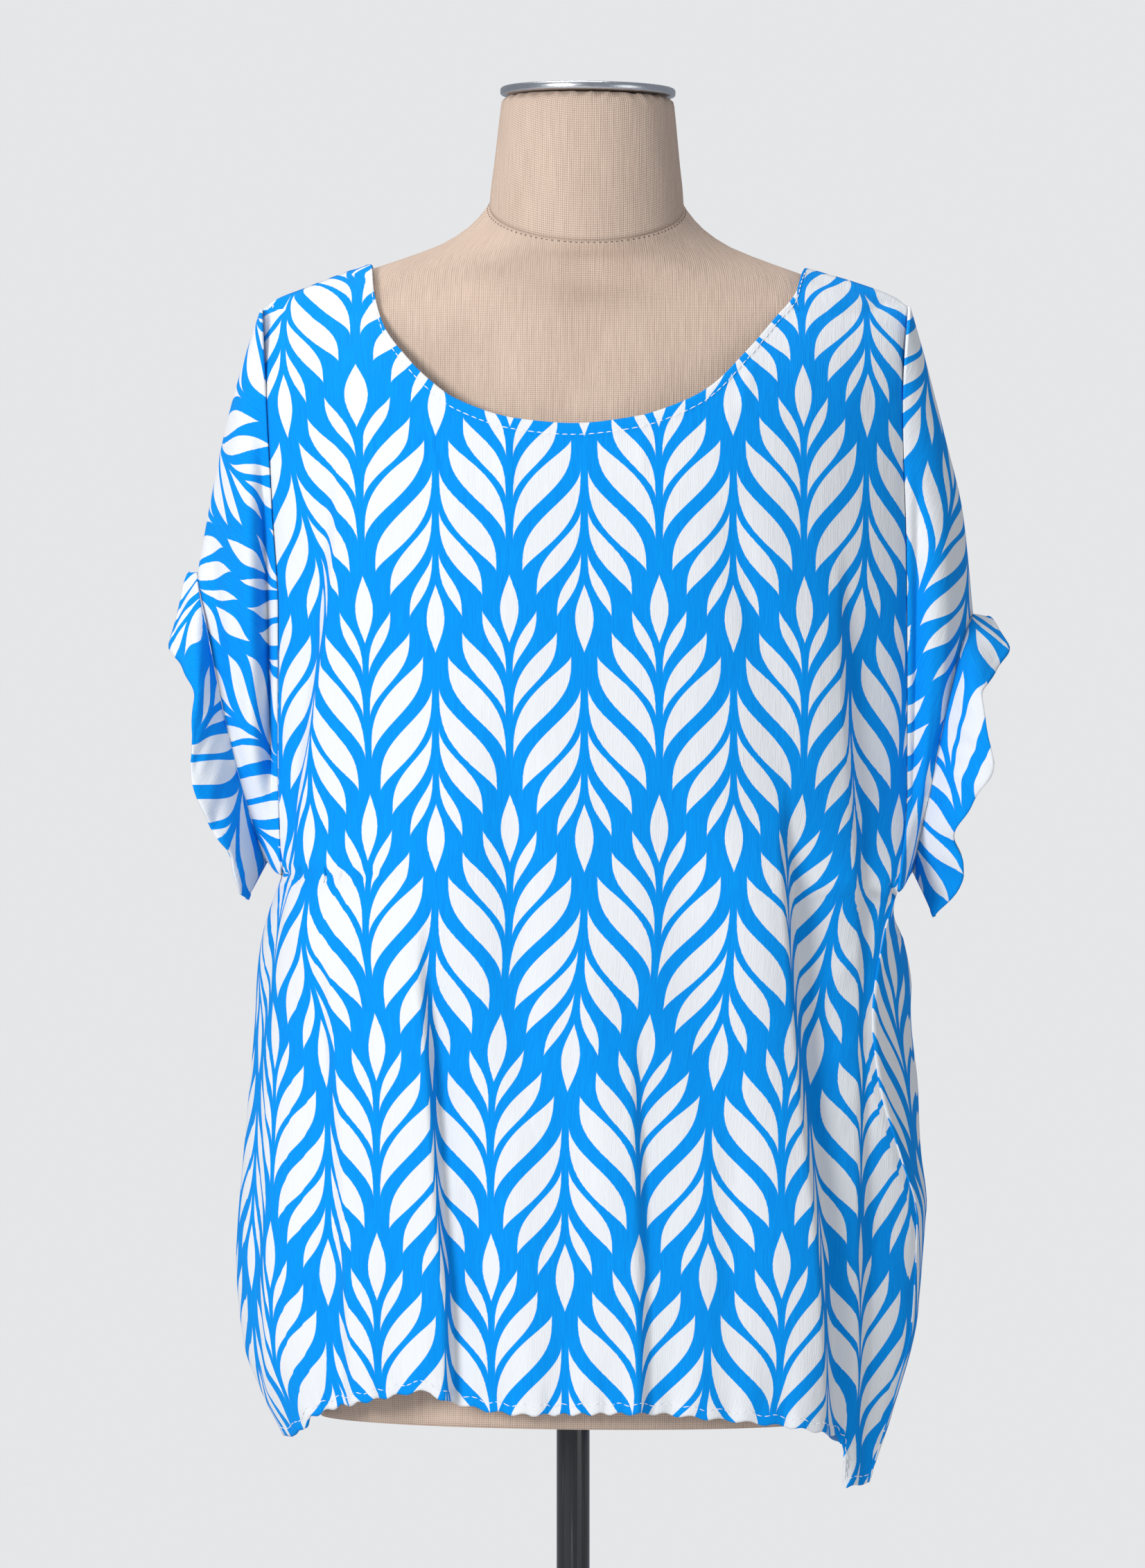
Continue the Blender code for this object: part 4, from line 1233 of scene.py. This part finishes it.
def sleeve_ring(side, along, angles):
    """Ring of a sleeve, from the armhole (0) to the cuff seam (1)."""
    table = SLEEVE_RIGHT if side > 0 else SLEEVE_LEFT
    arm = ARMHOLE_RIGHT if side > 0 else ARMHOLE_LEFT
    seam = SIDE_RIGHT if side > 0 else SIDE_LEFT
    start = (0.0, arm[0][1], arm[0][0], seam[0][1], seam[0][2], seam[0][0], ARMHOLE_HALF_DEPTH, 0.0)
    rows = (start,) + table
    place = [smooth(column(rows, 0), column(rows, k), along) for k in range(1, 8)]
    upper_x, upper_z, lower_x, lower_y, lower_z, half, bow = place
    face = np.where(np.sin(angles) >= 0, -1.0, 1.0)
    turn = np.arccos(np.cos(angles))
    down = (1 - np.cos(turn)) / 2
    z = upper_z + (lower_z - upper_z) * down
    arm_z, arm_x = column(arm, 0), column(arm, 1)
    out_above = upper_x - smooth(arm_z, arm_x, upper_z)
    out_below = lower_x - smooth(arm_z, arm_x, lower_z)
    x = smooth(arm_z, arm_x, z) + out_above + (out_below - out_above) * down
    x += side * (bow * np.sin(turn) + ARMHOLE_GAP * (1 - along))
    y = lower_y * ease((turn / math.pi - SWEEP_START) / (1 - SWEEP_START))
    y = y + face * half * np.sin(turn) ** RING_FULLNESS
    return np.stack([x, y, z], axis=1)


# Folds of the sleeves. Each row: side, face, crest heights, crest x, forward height of the crest,
# depth of the valley beyond it, width of the slope before it
SLEEVE_FOLDS = (
    (
        -1,
        -1,
        (1.420, 1.360, 1.290, 1.220, 1.150),
        (-0.2060, -0.2090, -0.2115, -0.2130, -0.2080),
        0.003,
        0.011,
        0.016,
    ),
    (-1, 1, (1.400, 1.300, 1.200, 1.120), (-0.2050, -0.2110, -0.2130, -0.2060), 0.002, 0.008, 0.018),
    (1, -1, (1.330, 1.270, 1.200, 1.140), (0.2290, 0.2330, 0.2310, 0.2260), 0.003, 0.008, 0.018),
    (1, 1, (1.380, 1.300, 1.200, 1.120), (0.2260, 0.2320, 0.2330, 0.2240), 0.002, 0.007, 0.018),
)
# Creases of the sleeves. Each row: side, face, x and height of one end, x and height of the
# other end, height of the ridge (a trough is below zero), half width
SLEEVE_CREASES = (
    (-1, -1, -0.1930, 1.350, -0.1900, 1.130, -0.0100, 0.0045),
    (-1, -1, -0.2040, 1.350, -0.2010, 1.130, 0.0085, 0.0065),
    (-1, -1, -0.2230, 1.300, -0.2160, 1.230, 0.0018, 0.004),
    (-1, -1, -0.2260, 1.230, -0.2060, 1.150, 0.0022, 0.005),
    (-1, -1, -0.2180, 1.180, -0.1980, 1.120, -0.0020, 0.005),
    (-1, 1, -0.2000, 1.260, -0.2020, 1.160, -0.0035, 0.007),
    (1, -1, 0.2160, 1.330, 0.2140, 1.120, -0.0045, 0.005),
    (1, -1, 0.2430, 1.270, 0.2280, 1.190, 0.0020, 0.005),
    (1, -1, 0.2260, 1.180, 0.2120, 1.110, 0.0020, 0.005),
    (1, 1, 0.2180, 1.300, 0.2200, 1.160, -0.0035, 0.007),
)
# Turn of the print on each sleeve, in degrees against the clock as seen from the front
SLEEVE_PRINT_TURN = {-1.0: 58.0, 1.0: -24.0}


def sleeve(side, across, down):
    """Grid of a sleeve, rings from the armhole to the cuff seam. Each ring starts at the underarm
    and runs up the rear."""
    angles = np.roll(tall_ring_angles(across), -across // 2)
    face = np.where(np.sin(angles) > 0, -1.0, 1.0)
    rings = []
    for along in np.linspace(0.0, 1.0, down + 1):
        ring = sleeve_ring(side, along, angles)
        x, z = ring[:, 0], ring[:, 2]
        lift = np.zeros(across)
        for fold_side, fold_face, heights, crest_x, crest, valley, slope in SLEEVE_FOLDS:
            if fold_side != side:
                continue
            out = side * (x - smooth(heights, crest_x, z))
            reach = ease((heights[0] - z) / FOLD_FADE) * ease((z - heights[-1]) / FOLD_FADE)
            before = crest * ease(1 + out / slope)
            beyond = crest - (crest + valley) * ease(out / (2 * FLANK))
            lift += np.where(face == fold_face, reach * np.where(out < 0, before, beyond), 0.0)
        for fold_side, fold_face, *ends in SLEEVE_CREASES:
            if fold_side == side:
                lift += np.where(face == fold_face, crease_shape(x, z, *ends), 0.0)
        lift *= ease(4 * along) * (0.4 + 0.6 * ease(5 * (1 - along))) * np.abs(np.sin(angles)) ** 0.5
        sink = SEAM_SINK * math.exp(-((along * SLEEVE_LENGTH / SEAM_SINK_WIDTH) ** 2))
        ring[:, 1] += face * (lift - sink * np.abs(np.sin(angles)))
        rings.append(ring)
    return np.array(rings)


def turned_map(right, up, degrees):
    """Cloth coordinates of a print that is turned against the clock by some degrees."""
    turn = math.radians(degrees)
    return right * math.cos(turn) + up * math.sin(turn), up * math.cos(turn) - right * math.sin(turn)


def sleeve_cloth_map(side, grid, degrees):
    """Cloth coordinates of a sleeve: across is the level length out from the armhole, up is the
    height. The rear is turned over about the upper fold, so the print runs on round it."""
    down, wide = grid.shape[0], grid.shape[1]
    half = wide // 2
    levels = np.unique(grid[:, :, 2])
    rear, front = grid[:, : half + 1], grid[:, half:]
    front = np.concatenate([front, grid[:, :1]], axis=1)[:, ::-1]
    top = rear[:, -1, 2]
    lengths = []
    for part in (rear, front):
        points = np.empty((down, len(levels), 2))
        for j in range(down):
            for k in (0, 1):
                on_fold = np.interp(levels, top[::-1], part[::-1, -1, k])
                on_ring = np.interp(levels, part[j, :, 2], part[j, :, k])
                points[j, :, k] = np.where(levels < top[j], on_ring, on_fold)
        step = np.hypot(*np.diff(points, axis=0).transpose(2, 0, 1))
        lengths.append(np.concatenate([np.zeros((1, len(levels))), np.cumsum(step, axis=0)]))
    across, up = np.empty((down, wide + 1)), np.empty((down, wide + 1))
    fold = np.array([np.interp(top[j], levels, lengths[1][j]) for j in range(down)])
    slope = np.sum(fold * (top[0] - top)) / np.sum((top[0] - top) ** 2)
    fold_across, fold_up = slope / math.hypot(slope, 1.0), -1.0 / math.hypot(slope, 1.0)
    for j in range(down):
        out = np.interp(rear[j, :, 2], levels, lengths[0][j])
        rise = rear[j, :, 2] - top[0]
        along = out * fold_across + rise * fold_up
        mirrored = np.stack([2 * along * fold_across - out, top[0] + 2 * along * fold_up - rise])
        run = np.concatenate([[0.0], np.cumsum(np.linalg.norm(np.diff(rear[j], axis=0), axis=1))])
        missed = np.array([[fold[j]], [top[j]]]) - mirrored[:, -1:]
        across[j, : half + 1], up[j, : half + 1] = mirrored + missed * (run / run[-1]) ** 2
        across[j, half:] = np.interp(front[j, :, 2], levels, lengths[1][j])[::-1]
        up[j, half:] = front[j, ::-1, 2]
    return turned_map(side * across, up, degrees)


for side, name in ((-1.0, "left"), (1.0, "right")):
    grid = sleeve(side, *SLEEVE_GRID)
    sleeve_u, sleeve_v = sleeve_cloth_map(side, grid, SLEEVE_PRINT_TURN[side])
    if side < 0:
        grid, sleeve_u, sleeve_v = np.roll(grid[:, ::-1], 1, axis=1), sleeve_u[:, ::-1], sleeve_v[:, ::-1]
    sleeve_cloth = add_cloth(
        "sleeve_tube_" + name,
        grid,
        True,
        np.zeros(grid.shape[:2]),
        [print_face, print_reverse],
        sleeve_u,
        sleeve_v,
    )
    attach(sleeve_cloth, "root")
    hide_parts("sleeve_" + name)


# Cuffs. Bands of the same viscose gathered on to the sleeve ends, cut on the slant, with a wavy
# free edge that flops outwards.
CUFF_GRID = (240, 20)
CUFF_GAP = 0.0006
CUFF_WAVE = 0.0018
CUFF_SWELLING = 0.10
CUFF_EDGE_ROWS = 3

# Free edge, from the upper fold round the front to the underarm and back round the rear: angle,
# outward, y, height
CUFF_RIGHT = (
    (0, 0.2640, 0.004, 1.2480),
    (20, 0.2746, -0.026, 1.2280),
    (45, 0.2600, -0.058, 1.2050),
    (60, 0.2560, -0.066, 1.1940),
    (85, 0.2629, -0.076, 1.1560),
    (110, 0.2500, -0.070, 1.1290),
    (125, 0.2395, -0.058, 1.1110),
    (150, 0.2463, -0.044, 1.0850),
    (172, 0.2280, -0.020, 1.0580),
    (200, 0.2330, 0.016, 1.0640),
    (230, 0.2480, 0.042, 1.0930),
    (255, 0.2420, 0.060, 1.1180),
    (280, 0.2600, 0.074, 1.1500),
    (305, 0.2570, 0.064, 1.1900),
    (335, 0.2700, 0.036, 1.2260),
)
CUFF_LEFT = (
    (0, -0.2440, 0.004, 1.2760),
    (20, -0.2540, -0.028, 1.2300),
    (40, -0.2430, -0.056, 1.2120),
    (57, -0.2370, -0.066, 1.1930),
    (80, -0.2395, -0.074, 1.1560),
    (105, -0.2290, -0.068, 1.1180),
    (130, -0.2150, -0.056, 1.0960),
    (150, -0.2110, -0.042, 1.0760),
    (172, -0.2060, -0.018, 1.0690),
    (200, -0.2110, 0.016, 1.0730),
    (230, -0.2200, 0.042, 1.0980),
    (255, -0.2260, 0.058, 1.1220),
    (280, -0.2400, 0.072, 1.1560),
    (305, -0.2370, 0.064, 1.1900),
    (335, -0.2500, 0.034, 1.2400),
)


def periodic(table, number, degrees):
    """Smooth closed curve through a table whose first column is an angle in degrees."""
    angles = [row[0] for row in table]
    values = [row[number] for row in table]
    wrapped = [angles[-2] - 360, angles[-1] - 360] + angles + [360 + angles[0], 360 + angles[1]]
    return smooth(wrapped, values[-2:] + values + values[:2], degrees)


def unit(vectors):
    return vectors / np.linalg.norm(vectors, axis=1, keepdims=True)


def cuff(side, across, down):
    """Band from the cuff seam to its wavy free edge."""
    table = CUFF_RIGHT if side > 0 else CUFF_LEFT
    angles = tall_ring_angles(across)
    seam = sleeve_ring(side, 1.0, angles)
    edge = np.stack([periodic(table, k, np.degrees(angles)) for k in (1, 2, 3)], axis=1)
    waves = np.sin(11 * angles + 1.5 * np.sin(3 * angles)) * (0.5 + 0.5 * np.sin(2 * angles + 1.0) ** 2)
    edge[:, 1] += CUFF_WAVE * waves
    edge[:, 0] += side * 0.4 * CUFF_WAVE * np.sin(17 * angles + 2.0 * np.sin(2 * angles))
    along_seam = unit(np.roll(seam, -1, axis=0) - np.roll(seam, 1, axis=0))
    away = unit(edge - seam)
    away -= along_seam * np.sum(away * along_seam, axis=1, keepdims=True)
    start = seam + unit(away) * (CLOTH + CUFF_GAP)
    rows = []
    for j in range(down + 1):
        f = j / down
        point = start + (edge - start) * f
        swelling = math.sin(math.pi * f)
        point[:, 1] *= 1 + CUFF_SWELLING * swelling
        point[:, 1] += CUFF_WAVE * 0.35 * swelling * np.sin(23 * angles + 3.0 * np.sin(4 * angles))
        rows.append(point)
    return np.array(rows)


# Turn of the print on each cuff, in degrees against the clock as seen from the front
CUFF_PRINT_TURN = {-1.0: 130.0, 1.0: 35.0}
# Shift of the print on each cuff: across and up, in metres
CUFF_PRINT_SHIFT = {-1.0: (0.0080, -0.0100), 1.0: (0.0198, -0.0680)}

for side, name in ((-1.0, "left"), (1.0, "right")):
    grid = cuff(side, *CUFF_GRID)
    if side < 0:
        grid = grid[:, ::-1]
    round_trip = np.concatenate([grid, grid[:, :1]], axis=1)
    along_seam = unit(np.roll(grid[0], -1, axis=0) - np.roll(grid[0], 1, axis=0))
    along_seam = np.concatenate([along_seam, along_seam[:1]])
    from_seam = round_trip - round_trip[0]
    sideways = np.sum(from_seam * along_seam, axis=2)
    outward = side * np.linalg.norm(from_seam - sideways[:, :, None] * along_seam, axis=2)
    up = -side * (lengths_along(round_trip[:1]) + sideways)
    cuff_u, cuff_v = turned_map(outward, up, CUFF_PRINT_TURN[side])
    cuff_u, cuff_v = cuff_u + CUFF_PRINT_SHIFT[side][0], cuff_v + CUFF_PRINT_SHIFT[side][1]
    free_edge = np.zeros(grid.shape[:2])
    free_edge[-CUFF_EDGE_ROWS:] = 1.0
    cuff_cloth = add_cloth(
        "cuff_band_" + name,
        grid,
        True,
        free_edge,
        [print_face, print_reverse],
        cuff_u,
        cuff_v,
    )
    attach(cuff_cloth, "root")
    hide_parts("cuff_" + name)


# Topstitching. White thread in one straight row that holds down the turned hem, at the neck and
# along the bottom of both panels.
STITCH_DASH = 0.0042
STITCH_SPACE = 0.0014
STITCH_THREAD = 0.0006
STITCH_SEED = 11
# Share of the hem's thickness at which the stitches lie, and the step that finds its slope
STITCH_HEIGHT = 0.45
SLOPE_STEP = 0.003

white_thread, tree, shader = new_finish("white thread", 0.6)
twist = noise(tree, stretched(tree, object_place(tree), (2000.0, 2000.0, 2000.0)), 1.0)
feed(tree, shader.inputs["Base Color"], blend_colour(tree, twist, (0.80, 0.81, 0.84), (0.93, 0.93, 0.94)))


def line_down(grid, distance, from_bottom=False):
    """Points and outward normals on a panel at one distance from its top edge or its hem."""
    rows = grid[::-1] if from_bottom else grid
    step = np.linalg.norm(np.diff(rows, axis=0), axis=2)
    run = np.concatenate([np.zeros((1, rows.shape[1])), np.cumsum(step, axis=0)])
    points = np.empty((rows.shape[1], 3))
    for i in range(rows.shape[1]):
        points[i] = [np.interp(distance, run[:, i], rows[:, i, k]) for k in range(3)]
    below = np.empty_like(points)
    for i in range(rows.shape[1]):
        below[i] = [np.interp(distance + SLOPE_STEP, run[:, i], rows[:, i, k]) for k in range(3)]
    normal = unit(np.cross(np.gradient(points, axis=0), below - points))
    return points, normal


for grid, inside_neck, face, name in (
    (front_grid, front_neck, -1.0, "front"),
    (back_grid, back_neck, 1.0, "back"),
):
    for where, from_bottom in (("neck", False), ("hem", True)):
        path, normal = line_down(grid, NECK_HEM if where == "neck" else BOTTOM_HEM, from_bottom)
        normal *= np.where(normal[:, 1:2] * face < 0, -1.0, 1.0)
        path = path + normal * HEM_CLOTH * STITCH_HEIGHT
        if where == "neck":
            path, normal = path[inside_neck], normal[inside_neck]
        row = add_dashes(
            where + "_stitches_" + name,
            path,
            normal,
            STITCH_DASH,
            STITCH_SPACE,
            STITCH_THREAD,
            white_thread,
            STITCH_SEED,
        )
        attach(row, "root")


# Studio. A plain pale floor, an even pale surround, a large soft light from the front left and
# weaker ones from the right and above.
FLOOR_HALF = 6.0
FLOOR_PALE = (0.80, 0.80, 0.81)
SURROUND = (0.785, 0.792, 0.810)
SURROUND_LIGHT = (0.300, 0.325, 0.365)
LIGHTS = (
    ("key", (-2.7, -3.8, 2.1), (0.0, 0.0, 1.15), 1.5, 168.0),
    ("top", (-0.4, 0.2, 3.6), (0.0, 0.0, 1.20), 1.6, 34.0),
    ("fill", (3.4, -2.6, 1.4), (0.0, 0.0, 1.10), 2.4, 20.0),
)

floor_finish, tree, shader = new_finish("pale studio floor", 0.6)
mottle = noise(tree, object_place(tree), 3.0)
floor_shade = tuple(0.97 * c for c in FLOOR_PALE)
feed(tree, shader.inputs["Base Color"], blend_colour(tree, mottle, floor_shade, FLOOR_PALE))
corners = [(FLOOR_HALF * x, FLOOR_HALF * y, 0) for x, y in ((-1, -1), (1, -1), (1, 1), (-1, 1))]
floor = add_mesh("studio_floor", corners, [(0, 1, 2, 3)], [floor_finish])

world = bpy.data.worlds.new("pale surround")
world.use_nodes = True
background = world.node_tree.nodes["Background"]
seen = world.node_tree.nodes.new("ShaderNodeLightPath").outputs["Is Camera Ray"]
surround_colour = blend_colour(world.node_tree, seen, SURROUND_LIGHT, SURROUND)
feed(world.node_tree, background.inputs["Color"], surround_colour)
bpy.context.scene.world = world
bpy.context.scene.view_settings.view_transform = "Standard"

for name, place, aim, size, power in LIGHTS:
    lamp = bpy.data.lights.new(name, "AREA")
    lamp.shape = "DISK"
    lamp.size = size
    lamp.energy = power
    holder = bpy.data.objects.new(name + " light", lamp)
    holder.location = place
    holder.rotation_euler = (Vector(aim) - Vector(place)).to_track_quat("-Z", "Y").to_euler()
    bpy.context.scene.collection.objects.link(holder)
